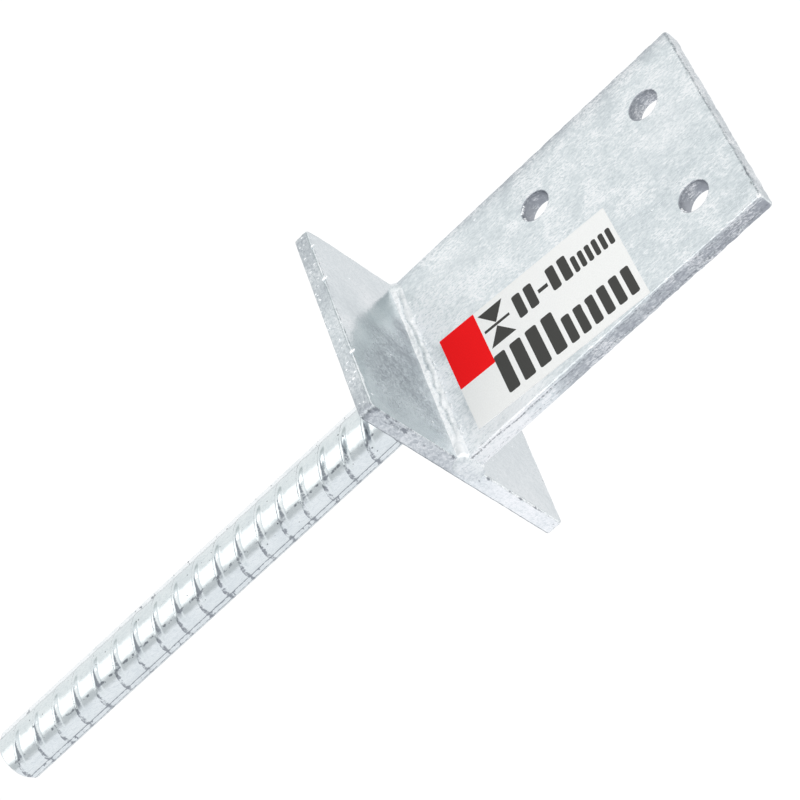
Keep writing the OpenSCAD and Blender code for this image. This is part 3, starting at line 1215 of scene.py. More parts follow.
    def locate(self, shape: ShapeTree, core: bpy.types.NodeSocket, angle: bpy.types.Node,
               z: bpy.types.Node) -> BarPlace:
        """Finds where each point lies between the ribs.

        Args:
            shape: The bar's tree.
            core: The core's radius.
            angle: The point's angle from a lengthwise rib.
            z: Its height, from 0 under the plate down to minus the bar's length.

        Returns:
            The place.
        """
        tree = shape.tree
        cosine = add(tree, MATH, angle, operation="COSINE")
        sine = add(tree, MATH, angle, operation="SINE")
        side = add(tree, MATH, add(tree, MATH, core, sine, operation="MULTIPLY"), operation="ABSOLUTE")
        seam_foot = shape.given("Seam Foot", self.seam_foot / 2 * MM)
        on_seam = add(tree, RANGE, side, seam_foot, 0.9 * self.seam_foot / 2 * MM, 0.0, 1.0)

        # Height along the bar from the first crescent's middle plane, which leans about the Y axis
        pitch = shape.given("Rib Pitch", self.rib_pitch * MM)
        lean = shape.given("Rib Lean", math.radians(self.rib_lean))
        across = add(tree, MATH, core, cosine, operation="MULTIPLY")
        tilt = add(tree, MATH, across, add(tree, MATH, lean, operation="TANGENT"), operation="MULTIPLY")
        rear = add(tree, MATH, sine, 0.0, operation="GREATER_THAN")
        half_pitch = add(tree, MATH, pitch, 0.5, operation="MULTIPLY")
        phase = add(tree, MATH, z, shape.given("First Rib", self.rib_first * MM), operation="ADD")
        phase = add(tree, MATH, phase, tilt, operation="ADD")
        phase = add(tree, MATH, rear, half_pitch, phase, operation="MULTIPLY_ADD")
        below = add(tree, MATH, half_pitch, -1.0, operation="MULTIPLY")
        gap = add(tree, MATH, phase, half_pitch, below, operation="WRAP")
        lean_cosine = add(tree, MATH, lean, operation="COSINE")
        gap = add(tree, MATH, gap, lean_cosine, operation="MULTIPLY")
        first = add(tree, MATH, phase, half_pitch, operation="LESS_THAN")
        end = add(tree, MATH, pitch, -(self.rib_last + 0.5), operation="MULTIPLY")
        last = add(tree, MATH, phase, end, operation="GREATER_THAN")
        ribbed = add(tree, MATH, first, last, operation="MULTIPLY")
        return BarPlace(cosine, sine, side, gap, lean_cosine, ribbed, on_seam, seam_foot)

    def crescents(self, shape: ShapeTree, core: bpy.types.NodeSocket, at: BarPlace) -> bpy.types.Node:
        """Raises the crescents. A leaning disc cuts the bar in an ellipse, so each dies away at both ends.

        Args:
            shape: The bar's tree.
            core: The core's radius.
            at: The point's place.

        Returns:
            Their height over the core.
        """
        tree = shape.tree
        flat = add(tree, MATH, at.cosine, at.lean_cosine, operation="DIVIDE")
        flat = add(tree, MATH, flat, flat, operation="MULTIPLY")
        square = add(tree, MATH, at.sine, at.sine, flat, operation="MULTIPLY_ADD")
        reach = add(tree, MATH, core, shape.given("Rib Height", self.rib_h * MM), operation="ADD")
        reach = add(tree, MATH, reach, add(tree, MATH, square, operation="SQRT"), operation="DIVIDE")
        height = add(tree, MATH, reach, core, operation="SUBTRACT")
        lip = add(tree, RANGE, at.side, at.seam_foot, 0.6 * self.core_r * MM,
                  *(lip_h * MM for lip_h in self.rib_lip))
        height = add(tree, MATH, height, lip, operation="MAXIMUM")
        lower_foot = shape.given("Lower Foot", self.lower_foot * MM)
        upper_foot = shape.given("Upper Foot", self.upper_foot * MM)
        rise, fall = (add(tree, RANGE, at.gap, foot, crest * MM, 0.0, 1.0, interpolation_type="SMOOTHSTEP")
                      for foot, crest in zip((lower_foot, upper_foot), self.crest))
        share = add(tree, MATH, rise, fall, operation="MINIMUM")
        rib = add(tree, MATH, height, share, operation="MULTIPLY")
        return add(tree, MATH, rib, at.ribbed, operation="MULTIPLY")

    def painted_shade_lines_and_crumbs(self, shape: ShapeTree, at: BarPlace, pits: bpy.types.Node) -> bpy.types.Node:
        """Paints shade in lines along the crescents' lower feet and along the feet and crests of the seams,
        and adds dark crumbs, a dark streak and specks.

        Args:
            shape: The bar's tree.
            at: The point's place.
            pits: The noise that breaks the lines up.

        Returns:
            How dark the skin is, from 0 to 1.
        """
        tree = shape.tree
        thin = shape.given("Line Width", self.line_w * MM)
        beyond = add(tree, MATH, at.side, at.seam_foot, operation="GREATER_THAN")
        between = add(tree, MATH, at.ribbed, beyond, operation="MULTIPLY")
        shown = add(tree, RANGE, at.cosine, *self.seam_line_fade)
        # Shade painted in lines along the crescents' lower feet and the seams' feet and crests
        strokes = []
        for value, target, most, share in (
                (at.gap, (self.lower_foot - 0.1) * MM, self.foot_shade_line, between),
                (at.side, at.seam_foot, self.seam_foot_shade_line, shown),
                (at.side, 0.9 * self.seam_crest / 2 * MM, self.seam_crest_shade_line, shown)):
            off = add(tree, MATH, add(tree, MATH, value, target, operation="SUBTRACT"), operation="ABSOLUTE")
            stroke = add(tree, RANGE, off, 0.0, thin, most, 0.0)
            strokes.append(add(tree, MATH, stroke, share, operation="MULTIPLY"))
        line, *seam_lines = strokes

        # Dark crumbs on each crescent, thickest where it runs out beside a seam
        off = add(tree, MATH, at.gap, self.crest[0] * MM, operation="SUBTRACT")
        off = add(tree, MATH, off, operation="ABSOLUTE")
        crumbs = add(tree, RANGE, off, *(width * MM for width in self.crumb_w), self.crumb_line, 0.0)
        ending = add(tree, RANGE, at.cosine, *self.crumb_fade)
        crumbs = add(tree, MATH, crumbs, ending, operation="MULTIPLY")
        crumbs = add(tree, MATH, crumbs, at.ribbed, operation="MULTIPLY")
        line = add(tree, MATH, line, crumbs, operation="MAXIMUM")
        broken = add(tree, RANGE, pits, *self.line_fade)
        line = add(tree, MATH, line, broken, operation="MULTIPLY")

        # A broken dark streak along the bar at one angle round it, and specks on the seams
        off = add(tree, MATH, at.cosine, self.dark_streak_cosine, operation="SUBTRACT")
        off = add(tree, MATH, off, operation="ABSOLUTE")
        dark_streak = add(tree, RANGE, off, *self.dark_streak_w, 1.0, 0.0)
        dark_streak = add(tree, MATH, dark_streak, add(tree, RANGE, pits, *self.dark_streak_fade), operation="MULTIPLY")
        specks = add(tree, NOISE, inputs={"Scale": 1 / (self.speck_mm * MM), "Detail": 1.0})
        specks = add(tree, RANGE, specks, *self.speck_fade)
        specks = add(tree, MATH, specks, at.on_seam, operation="MULTIPLY")
        for stroke in (dark_streak, *seam_lines, specks):
            line = add(tree, MATH, line, stroke, operation="MAXIMUM")
        return line

    def tone(self, tree: bpy.types.NodeTree, at: BarPlace) -> bpy.types.Node:
        """Paints a wedge of shadow on each crescent's upper flank, which widens along it, and paints light
        and shade on the seams.

        Args:
            tree: The bar's tree.
            at: The point's place.

        Returns:
            The painted light, from 1 where light is painted to -1 where shade is painted.
        """
        begin, end = self.shadow_span
        high_crest = self.crest[1] * MM
        width = add(tree, RANGE, at.cosine, begin, end, *(edge * MM for edge in self.shadow_w))
        within = add(tree, MATH, width, at.gap, operation="SUBTRACT")
        painted_shade = add(tree, RANGE, within, 0.0, 0.2 * MM, 0.0, 1.0)
        over = add(tree, RANGE, at.gap, high_crest, high_crest + 0.2 * MM, 0.0, 1.0)
        inside = add(tree, RANGE, at.cosine, end - 0.05, end + 0.2, 1.0, 0.0)
        begun = add(tree, RANGE, at.cosine, begin - 0.1, begin + 0.2, 0.0, 1.0)
        for share in (over, inside, begun, at.ribbed):
            painted_shade = add(tree, MATH, painted_shade, share, operation="MULTIPLY")
        # Light painted on the seams at one side of the bar, and a little shade at the other
        painted_seam_light = add(tree, RANGE, at.cosine, -1.0, 1.0, *self.painted_seam_light)
        painted_seam_light = add(tree, MATH, at.on_seam, painted_seam_light, operation="MULTIPLY")
        return add(tree, MATH, painted_shade, self.shadow_tone, painted_seam_light, operation="MULTIPLY_ADD")


@dataclass(frozen=True)
class BeadPlace:
    """Where a point lies on a blade's bead, as nodes of its tree.

    cosine and sine are those of the angle round the bead, from the plate to the blade. start, lap and
    washed are 1 where the bead is plain at its start, is melted together at +X, and is washed out at -X.
    """

    along: bpy.types.NodeSocket
    cosine: bpy.types.Node
    sine: bpy.types.Node
    start: bpy.types.Node
    lap: bpy.types.Node
    washed: bpy.types.Node


@dataclass
class BladeBead:
    """A weld bead in the corner between blade and plate, struck about a line just inside the steel.

    A stretch of the bead is given by how far from its end it begins and is whole.
    """

    side: Side
    half_length: float
    blade_half: float
    foot: float
    leg: float = 4.0
    inset: float = 0.6
    hollow: float = 0.755
    crust: float = 0.88
    toe_w: float = 0.36
    wander_mm: float = 6.0
    wander: float = 1.3
    start_stretch: tuple[float, float] = (8.0, 5.0)
    lap_stretch: tuple[float, float] = (15.0, 6.0)
    washed_stretch: tuple[float, float] = (4.0, 0.8)
    washed_leg: float = 2.8
    washed_hollow: float = 2.1
    # Shade painted along the bead's hollow middle, and light on its toes, at its start, where it is washed
    # out and where it laps
    painted_hollow_and_toe_light: tuple[float, float] = (-0.35, 0.7)
    painted_start_light: float = 0.1
    painted_lap_light: float = 1.0
    painted_washed_light: float = 1.2
    frost: float = 0.8
    ripple_mm: float = 2.9
    ripple_height_mm: float = 0.08
    ripple_bow: float = 1.4
    ripple_crest: float = 0.35
    lump_mm: float = 2.6
    lump_height_mm: float = 1.2
    grain_mm: float = 1.0
    grain_height_mm: float = 0.3
    lump_stretch: float = 0.42
    plain_rugged: float = 0.3
    lap_rugged: float = 0.4
    bare_span: tuple[float, float] = (-0.25, 0.02)
    cap: float = 0.74
    end_r: tuple[float, float] = (0.9, 2.4)
    run_out_proud: float = 1.05
    run_out_half: float = 3.6
    run_out_w: float = 0.8
    run_out_aside: float = 0.35
    run_out_back: float = 0.7
    run_out_drop: float = 1.1
    knot_size: float = 1.2
    knot_height: float = 1.3
    # A faint shade painted on the blob
    painted_run_out_shade: float = -0.04
    spatter_per_m2: float = 12000.0
    spatter_mm: tuple[float, float] = (0.2, 0.45)
    around: int = 96
    along: int = 520

    @property
    def bead_r(self) -> float:
        """Radius of the bead's back, in mm."""
        return math.hypot(self.leg + self.inset, self.inset)

    def build(self, zinc: bpy.types.Material) -> bpy.types.Object:
        """Grows the bead in Geometry Nodes from a cylinder along X, by a radius at each angle and place.

        Args:
            zinc: The finish.

        Returns:
            The object.
        """
        shape = ShapeTree("blade_bead")
        tree = shape.tree
        half = shape.given("Half Length", self.half_length * MM)
        full = shape.given("Bead Radius", self.bead_r * MM)
        seed = shape.given("Seed", 11 + self.side.value)
        stock = add(tree, "GeometryNodeMeshCylinder", fill_type="TRIANGLE_FAN", inputs={
            "Vertices": shape.given("Points Around", self.around),
            "Side Segments": shape.given("Rings Along", self.along), "Fill Segments": 3, "Radius": 1.0,
            "Depth": add(tree, MATH, half, 2.0, operation="MULTIPLY")})
        spot = add(tree, TO_XYZ, add(tree, "GeometryNodeInputPosition"))
        out, up, along = spot.outputs
        span = add(tree, MATH, up, up, operation="MULTIPLY")
        span = add(tree, MATH, out, out, span, operation="MULTIPLY_ADD")
        span = add(tree, MATH, add(tree, MATH, span, operation="SQRT"), 1e-6, operation="MAXIMUM")
        stretches = []
        for end, stretch, blend in ((-1, self.start_stretch, "LINEAR"), (1, self.lap_stretch, "SMOOTHSTEP"),
                                    (-1, self.washed_stretch, "SMOOTHSTEP")):
            begins, whole = (end * (self.half_length - inward) * MM for inward in stretch)
            stretches.append(add(tree, RANGE, along, begins, whole, 0.0, 1.0, interpolation_type=blend))
        at = BeadPlace(along, add(tree, MATH, out, span, operation="DIVIDE"),
                       add(tree, MATH, up, span, operation="DIVIDE"), *stretches)
        toe = self.toe(tree, at, seed)
        radius = self.roughened(shape, at, seed, self.section(tree, at, full, toe))
        radius = self.ended(shape, at, half, full, radius)
        inner = add(tree, MATH, span, 1.0, operation="MINIMUM")
        radius = add(tree, MATH, radius, inner, operation="MULTIPLY")
        sideways = add(tree, MATH, radius, at.cosine, operation="MULTIPLY")
        new_y = add(tree, MATH, sideways, float(self.side.value),
                    self.side.value * (self.blade_half - self.inset) * MM, operation="MULTIPLY_ADD")
        new_z = add(tree, MATH, radius, at.sine, (self.foot - self.inset) * MM, operation="MULTIPLY_ADD")
        place = add(tree, FROM_XYZ, along, new_y, new_z)

        # Shade painted along the hollow middle, and light on the toes, the start, the washed end and the lap
        shade = add(tree, RANGE, toe, 0.0, 1.0, *self.painted_hollow_and_toe_light)
        for share, tone in ((at.start, self.painted_start_light), (at.washed, self.painted_washed_light),
                            (at.lap, self.painted_lap_light)):
            shade = add(tree, MIX, inputs={0: share, 2: shade, 3: tone})
        frost = add(tree, MATH, self.frost, at.lap, operation="SUBTRACT", use_clamp=True)
        for label, value in (("tone", shade), ("frost", frost)):
            stock = add(tree, STORE, data_type="FLOAT", domain="POINT", inputs={
                "Geometry": stock, "Name": label, "Value": value})
        moved = add(tree, MOVE, inputs={"Geometry": stock, "Position": place})
        if self.side is Side.BACK:
            moved = add(tree, "GeometryNodeFlipFaces", moved)
        whole = add(tree, JOIN)
        for part in (shape.spatter(moved, self.spatter_per_m2, *self.spatter_mm, seed), self.run_out(tree)):
            tree.links.new(part.outputs[0], whole.inputs[0])
        shape.close(whole, zinc)
        return shape.grow("bead_" + self.side.name.lower(), bpy.data.meshes.new("bead_start"))

    def toe(self, tree: bpy.types.NodeTree, at: BeadPlace, seed: bpy.types.NodeSocket) -> bpy.types.Node:
        """Finds how near each point is to a toe, about a middle that wanders along the bead.

        Args:
            tree: The bead's tree.
            at: The point's place.
            seed: What fixes the wandering.

        Returns:
            0 along the middle and 1 at both toes and on the plain stretches.
        """
        path = add(tree, FROM_XYZ, at.along, seed)
        sway = add(tree, NOISE, noise_dimensions="2D", inputs={
            "Vector": path, "Scale": 1 / (self.wander_mm * MM), "Detail": 2.0})
        sway = add(tree, MATH, sway, 0.5, operation="SUBTRACT")
        middle = add(tree, MATH, at.cosine, at.sine, operation="SUBTRACT")
        middle = add(tree, MATH, sway, self.wander, middle, operation="MULTIPLY_ADD")
        middle = add(tree, MATH, middle, operation="ABSOLUTE")
        toe = add(tree, RANGE, middle, 0.0, self.toe_w, 0.0, 1.0, interpolation_type="SMOOTHSTEP")
        for plain in (at.start, at.lap):
            toe = add(tree, MATH, toe, plain, operation="MAXIMUM")
        return toe

    def section(self, tree: bpy.types.NodeTree, at: BeadPlace, full: bpy.types.NodeSocket,
                toe: bpy.types.Node) -> bpy.types.Node:
        """Lays a slope from toe to toe, hollow along its middle and raised in a crust along both toes.

        Args:
            tree: The bead's tree.
            at: The point's place.
            full: The radius of the bead's back.
            toe: How near each point is to a toe.

        Returns:
            The radius at each point. At -X it is that of a plain hollow fillet.
        """
        slope = add(tree, MATH, at.cosine, at.sine, operation="ADD")
        slope = add(tree, MATH, slope, 1.0, operation="MAXIMUM")
        slope = add(tree, MATH, full, slope, operation="DIVIDE")
        swell = add(tree, RANGE, toe, 0.0, 1.0, self.hollow, self.crust)
        radius = add(tree, MATH, slope, swell, operation="MULTIPLY")
        lean = add(tree, MATH, at.cosine, at.sine, operation="MULTIPLY")
        fillet = add(tree, MATH, lean, -self.washed_hollow * MM, self.washed_leg * MM,
                     operation="MULTIPLY_ADD")
        return add(tree, MIX, inputs={0: at.washed, 2: radius, 3: fillet})

    def roughened(self, shape: ShapeTree, at: BeadPlace, seed: bpy.types.NodeSocket,
                  radius: bpy.types.Node) -> bpy.types.Node:
        """Adds the ripples of the melt, and lumps and grains where the bead is rugged.

        Args:
            shape: The bead's tree.
            at: The point's place.
            seed: What fixes the lumps.
            radius: The smooth bead's radius.

        Returns:
            The rough bead's radius.
        """
        tree = shape.tree
        rugged = add(tree, MATH, at.start, at.lap, operation="MAXIMUM")
        rugged = add(tree, RANGE, rugged, 0.0, 1.0, 1.0, self.plain_rugged)
        melted = add(tree, RANGE, at.lap, 0.0, 1.0, 1.0, self.lap_rugged)
        rugged = add(tree, MATH, rugged, melted, operation="MULTIPLY")
        lean = add(tree, MATH, at.cosine, at.sine, operation="MULTIPLY")
        bow = add(tree, MATH, lean, self.ripple_mm * self.ripple_bow * MM, at.along,
                  operation="MULTIPLY_ADD")
        pitch = shape.given("Ripple Pitch", self.ripple_mm * MM)
        saw = add(tree, MATH, add(tree, MATH, bow, pitch, operation="DIVIDE"), operation="FRACT")
        rise, fall = (add(tree, RANGE, saw, *run, interpolation_type="SMOOTHSTEP")
                      for run in ((0.0, self.ripple_crest, 0.0, 1.0), (self.ripple_crest, 1.0, 1.0, 0.0)))
        hump = add(tree, MATH, rise, fall, operation="MINIMUM")
        radius = add(tree, MATH, hump, shape.given("Ripple Height", self.ripple_height_mm * MM), radius,
                     operation="MULTIPLY_ADD")
        around = self.bead_r * MM
        spotted = add(tree, FROM_XYZ, *(
            add(tree, MATH, way, share, operation="MULTIPLY")
            for way, share in ((at.cosine, around), (at.sine, around), (at.along, self.lump_stretch))))
        for size, tall in ((self.lump_mm, self.lump_height_mm), (self.grain_mm, self.grain_height_mm)):
            lumps = add(tree, NOISE, noise_dimensions="4D", inputs={
                "Vector": spotted, "W": seed, "Scale": 1 / (size * MM), "Detail": 2.0})
            lift = add(tree, MATH, lumps, 0.5, operation="SUBTRACT")
            lift = add(tree, MATH, lift, rugged, operation="MULTIPLY")
            radius = add(tree, MATH, lift, tall * MM, radius, operation="MULTIPLY_ADD")
        return radius

    def ended(self, shape: ShapeTree, at: BeadPlace, half: bpy.types.NodeSocket, full: bpy.types.NodeSocket,
              radius: bpy.types.Node) -> bpy.types.Node:
        """Thins the bead to a core under the steel, past its toes, and rounds both its ends.

        Args:
            shape: The bead's tree.
            at: The point's place.
            half: Half the bead's length.
            full: The radius of the bead's back.
            radius: The bead's radius without this.

        Returns:
            The radius with it: short ends at -X, and a smooth melted cap at +X.
        """
        tree = shape.tree
        least = add(tree, MATH, at.cosine, at.sine, operation="MINIMUM")
        bare = add(tree, RANGE, least, *self.bare_span, 0.0, 1.0, interpolation_type="SMOOTHSTEP")
        thin = shape.given("Core Radius", self.inset * MM)
        radius = add(tree, MIX, inputs={0: bare, 2: thin, 3: radius})
        away = add(tree, MATH, at.along, operation="ABSOLUTE")
        from_end = add(tree, MATH, half, away, operation="SUBTRACT")
        rounding = add(tree, RANGE, at.lap, 0.0, 1.0, *(r * MM for r in self.end_r))
        near = add(tree, RANGE, from_end, 0.0, rounding, 1.0, 0.0)
        round_off = add(tree, MATH, near, near, operation="MULTIPLY")
        round_off = add(tree, MATH, 1.0, round_off, operation="SUBTRACT")
        round_off = add(tree, MATH, round_off, 0.0, operation="MAXIMUM")
        round_off = add(tree, MATH, round_off, operation="SQRT")
        cap = add(tree, MATH, full, self.cap, operation="MULTIPLY")
        cap = add(tree, MATH, cap, at.lap, operation="MULTIPLY")
        radius = add(tree, MATH, radius, cap, operation="MAXIMUM")
        return add(tree, MATH, radius, round_off, operation="MULTIPLY")

    def run_out(self, tree: bpy.types.NodeTree) -> bpy.types.Node:
        """Makes the knotted blob where the melt ran out over the corner at +X.

        Args:
            tree: The bead's tree.

        Returns:
            The node that gives the blob.
        """
        blob = add(tree, "GeometryNodeMeshIcoSphere", inputs={"Radius": 1.0, "Subdivisions": 5})
        # The blob carries a faint painted shade
        for label, value in (("tone", self.painted_run_out_shade), ("frost", self.frost)):
            blob = add(tree, STORE, data_type="FLOAT", domain="POINT", inputs={
                "Geometry": blob, "Name": label, "Value": value})
        reach = self.blade_half + 0.6 * self.leg
        blob = add(tree, "GeometryNodeTransform", inputs={
            "Geometry": blob,
            "Scale": (self.run_out_proud * MM, self.run_out_w * reach * MM, self.run_out_half * MM),
            "Translation": ((self.half_length - self.run_out_back) * MM,
                            self.run_out_aside * self.side.value * reach * MM,
                            (self.foot - self.run_out_drop) * MM)})
        knots = add(tree, NOISE, inputs={"Scale": 1 / (self.knot_size * self.lump_mm * MM), "Detail": 2.0})
        push = add(tree, MATH, knots, 0.5, operation="SUBTRACT")
        push = add(tree, MATH, push, self.knot_height * self.lump_height_mm * MM, operation="MULTIPLY")
        push = add(tree, VECTOR, add(tree, NORMAL), operation="SCALE", inputs={"Scale": push})
        return add(tree, MOVE, inputs={"Geometry": blob, "Offset": push})


@dataclass
class BarBead:
    """The weld bead round the bar under the plate, swept round a circle in the corner."""

    core_r: float
    leg: float = 4.0
    sunk: float = 0.3
    lump_mm: float = 5.0
    lump_height_mm: float = 0.8
    around: int = 220
    section: int = 40

    def build(self, zinc: bpy.types.Material) -> bpy.types.Object:
        """Sweeps the bead in Geometry Nodes and roughens it.

        Args:
            zinc: The finish.

        Returns:
            The object.
        """
        shape = ShapeTree("bar_bead")
        tree = shape.tree
        path = add(tree, "GeometryNodeCurvePrimitiveCircle", mode="RADIUS", inputs={
            "Resolution": shape.given("Points Around", self.around),
            "Radius": shape.given("Ring Radius", (self.core_r + self.sunk) * MM)})
        section = add(tree, "GeometryNodeCurvePrimitiveCircle", mode="RADIUS", inputs={
            "Resolution": shape.given("Section Points", self.section),
            "Radius": shape.given("Bead Radius", self.leg * MM)})
        swept = add(tree, "GeometryNodeCurveToMesh", path, inputs={"Profile Curve": section})
        spot = add(tree, TO_XYZ, add(tree, "GeometryNodeInputPosition"))
        x, y, z = spot.outputs
        low = add(tree, MATH, z, self.sunk * MM, operation="MINIMUM")
        level = add(tree, MOVE, inputs={"Geometry": swept, "Position": add(tree, FROM_XYZ, x, y, low)})
        lumps = add(tree, NOISE, inputs={"Scale": 1 / (self.lump_mm * MM), "Detail": 3.0})
        lift = add(tree, MATH, lumps, 0.5, operation="SUBTRACT")
        tall = shape.given("Lump Height", self.lump_height_mm * MM)
        lift = add(tree, MATH, lift, tall, operation="MULTIPLY")
        under = add(tree, MATH, z, 0.0, operation="LESS_THAN")
        lift = add(tree, MATH, lift, under, operation="MULTIPLY")
        offset = add(tree, VECTOR, add(tree, NORMAL), operation="SCALE", inputs={"Scale": lift})
        shape.close(add(tree, MOVE, inputs={"Geometry": level, "Offset": offset}), zinc)
        return shape.grow("bead_bar", bpy.data.meshes.new("bar_bead_start"))


@dataclass(frozen=True)
class BarRow:
    """A row of upright dark bars on the label: where it starts, and one bar's width, top and foot, in mm."""

    first: float
    pitch: float
    count: int
    width: float
    top: float
    foot: float


@dataclass
class Label:
    """The printed paper label, a little askew on the blade: a red field, two triangles and dark bars.

    Places on it are (s, t) in mm: s up its long edge and t across to the right.
    """

    face: float
    corner: tuple[float, float] = (-6.2, 14.2)
    long_edge: tuple[float, float] = (5.95, 70.7)
    short_edge: tuple[float, float] = (44.5, 1.1)
    hidden_hole: tuple[float, float] = (24.5, 64.5)
    red_field: tuple[float, float] = (14.9, 24.8)
    triangles: tuple[tuple[tuple[float, float], ...], ...] = (
        ((15.9, 2.7), (26.3, 2.7), (21.1, 10.1)), ((26.3, 19.0), (20.9, 11.7), (15.9, 19.0)))
    strokes: tuple[tuple[float, float, float, float], ...] = (
        (15.9, 10.3, 26.5, 11.5), (38.6, 10.9, 42.6, 12.6))
    rows: tuple[BarRow, ...] = (
        BarRow(29.2, 4.9, 2, 3.4, 5.6, 16.4), BarRow(43.6, 4.9, 2, 3.4, 5.6, 16.4),
        BarRow(53.0, 2.9, 6, 1.9, 8.8, 16.4), BarRow(14.9, 6.6, 2, 4.6, 22.6, 40.6),
        BarRow(28.1, 6.6, 2, 4.6, 22.6, 40.6), BarRow(41.0, 4.9, 6, 3.3, 28.2, 40.9))
    paper_t: float = 0.22
    ink_t: float = 0.03
    under_t: float = 0.1
    dent_depth: float = 0.12
    dent_r: float = 5.2
    spacing: float = 0.9

    def on_blade(self, s: float, t: float) -> Vector:
        """Turns a place on the label into (x, z) on the blade.

        Args:
            s: Distance up the long edge.
            t: Distance across.

        Returns:
            The place in mm.
        """
        up, across = Vector(self.long_edge).normalized(), Vector(self.short_edge).normalized()
        return Vector(self.corner) + up * s + across * t

    def slab(self, outline: list[tuple[float, float]], proud: float, material_index: int,
             bm: bmesh.types.BMesh) -> None:
        """Adds one thin closed slab to the label's mesh.

        Args:
            outline: Its corners as (s, t), with the clock as seen from the front.
            proud: How far its face stands out from the blade.
            material_index: The slot of its paper or ink.
            bm: The mesh that it is added to.
        """
        flat = [self.on_blade(s, t) for s, t in outline]
        count = len(flat)
        low, high = np.min(flat, 0), np.max(flat, 0)
        inside = []
        for x in np.arange(low[0] + 0.5 * self.spacing, high[0], self.spacing):
            for z in np.arange(low[1] + 0.5 * self.spacing, high[1], self.spacing):
                inside.append(Vector((x, z)))
        edges = [(k, (k + 1) % count) for k in range(count)]
        points, _, triangles, _, _, _ = delaunay_2d_cdt(flat + inside, edges, [list(range(count))], 1, 1e-6)
        front = [bm.verts.new(self.on_face(p, proud)) for p in points]
        back = [bm.verts.new(self.on_face(p, proud - self.paper_t - self.under_t)) for p in points]
        counts: dict[tuple[int, int], int] = {}
        for tri in triangles:
            bm.faces.new([front[k] for k in tri]).material_index = material_index
            bm.faces.new([back[k] for k in reversed(tri)]).material_index = material_index
            for a, b in zip(tri, tri[1:] + tri[:1]):
                counts[(a, b)] = 1
        for a, b in counts:
            if (b, a) not in counts:
                bm.faces.new([front[b], front[a], back[a], back[b]]).material_index = material_index

    def on_face(self, place: Vector, proud: float) -> Vector:
        """Turns a place on the blade into a point of the frame, with the dent over the hidden hole.

        Args:
            place: (x, z) in mm.
            proud: How far it stands out from the blade's face.

        Returns:
            The point in metres.
        """
        away = (place - Vector(self.hidden_hole)).length / self.dent_r
        dent = self.dent_depth * (1 - away * away) ** 2 if away < 1 else 0.0
        return Vector((place.x, self.face - proud + dent, place.y)) * MM

    def build(self, paper: bpy.types.Material, red: bpy.types.Material,
              dark: bpy.types.Material) -> bpy.types.Object:
        """Builds the label as one mesh of thin slabs.

        Args:
            paper: The sheet.
            red: The red field.
            dark: The dark print.

        Returns:
            The object.
        """
        bm = bmesh.new()
        long_side, short_side = Vector(self.long_edge).length, Vector(self.short_edge).length
        self.slab(rounded(0, 0, long_side, short_side, 0.5), self.paper_t, 0, bm)
        ink = self.paper_t + self.ink_t
        self.slab(rounded(0, 0, *self.red_field, 0.3), ink, 1, bm)
        prints = [list(corners) for corners in self.triangles]
        prints += [rounded(*stroke, 0.1) for stroke in self.strokes]
        for row in self.rows:
            starts = [row.first + k * row.pitch for k in range(row.count)]
            prints += [rounded(start, row.top, start + row.width, row.foot, 0.8) for start in starts]
        for outline in prints:
            self.slab(outline, ink, 2, bm)
        mesh = bpy.data.meshes.new("label")
        bmesh.ops.recalc_face_normals(bm, faces=bm.faces[:])
        bm.to_mesh(mesh)
        bm.free()
        for material in (paper, red, dark):
            mesh.materials.append(material)
        return placed("size_sticker", mesh)


def rounded(s0: float, t0: float, s1: float, t1: float, r: float,
            steps: int = 5) -> list[tuple[float, float]]:
    """Outline of a rectangle with rounded corners.

    Args:
        s0: Lowest s.
        t0: Lowest t.
        s1: Highest s.
        t1: Highest t.
        r: Radius of the corners.
        steps: Steps in each corner.

    Returns:
        Its points in order.
    """
    points = []
    for i, (s, t) in enumerate(((s1 - r, t1 - r), (s0 + r, t1 - r), (s0 + r, t0 + r), (s1 - r, t0 + r))):
        for k in range(steps + 1):
            angle = math.radians(90 * (i + k / steps))
            points.append((s + r * math.cos(angle), t + r * math.sin(angle)))
    return points


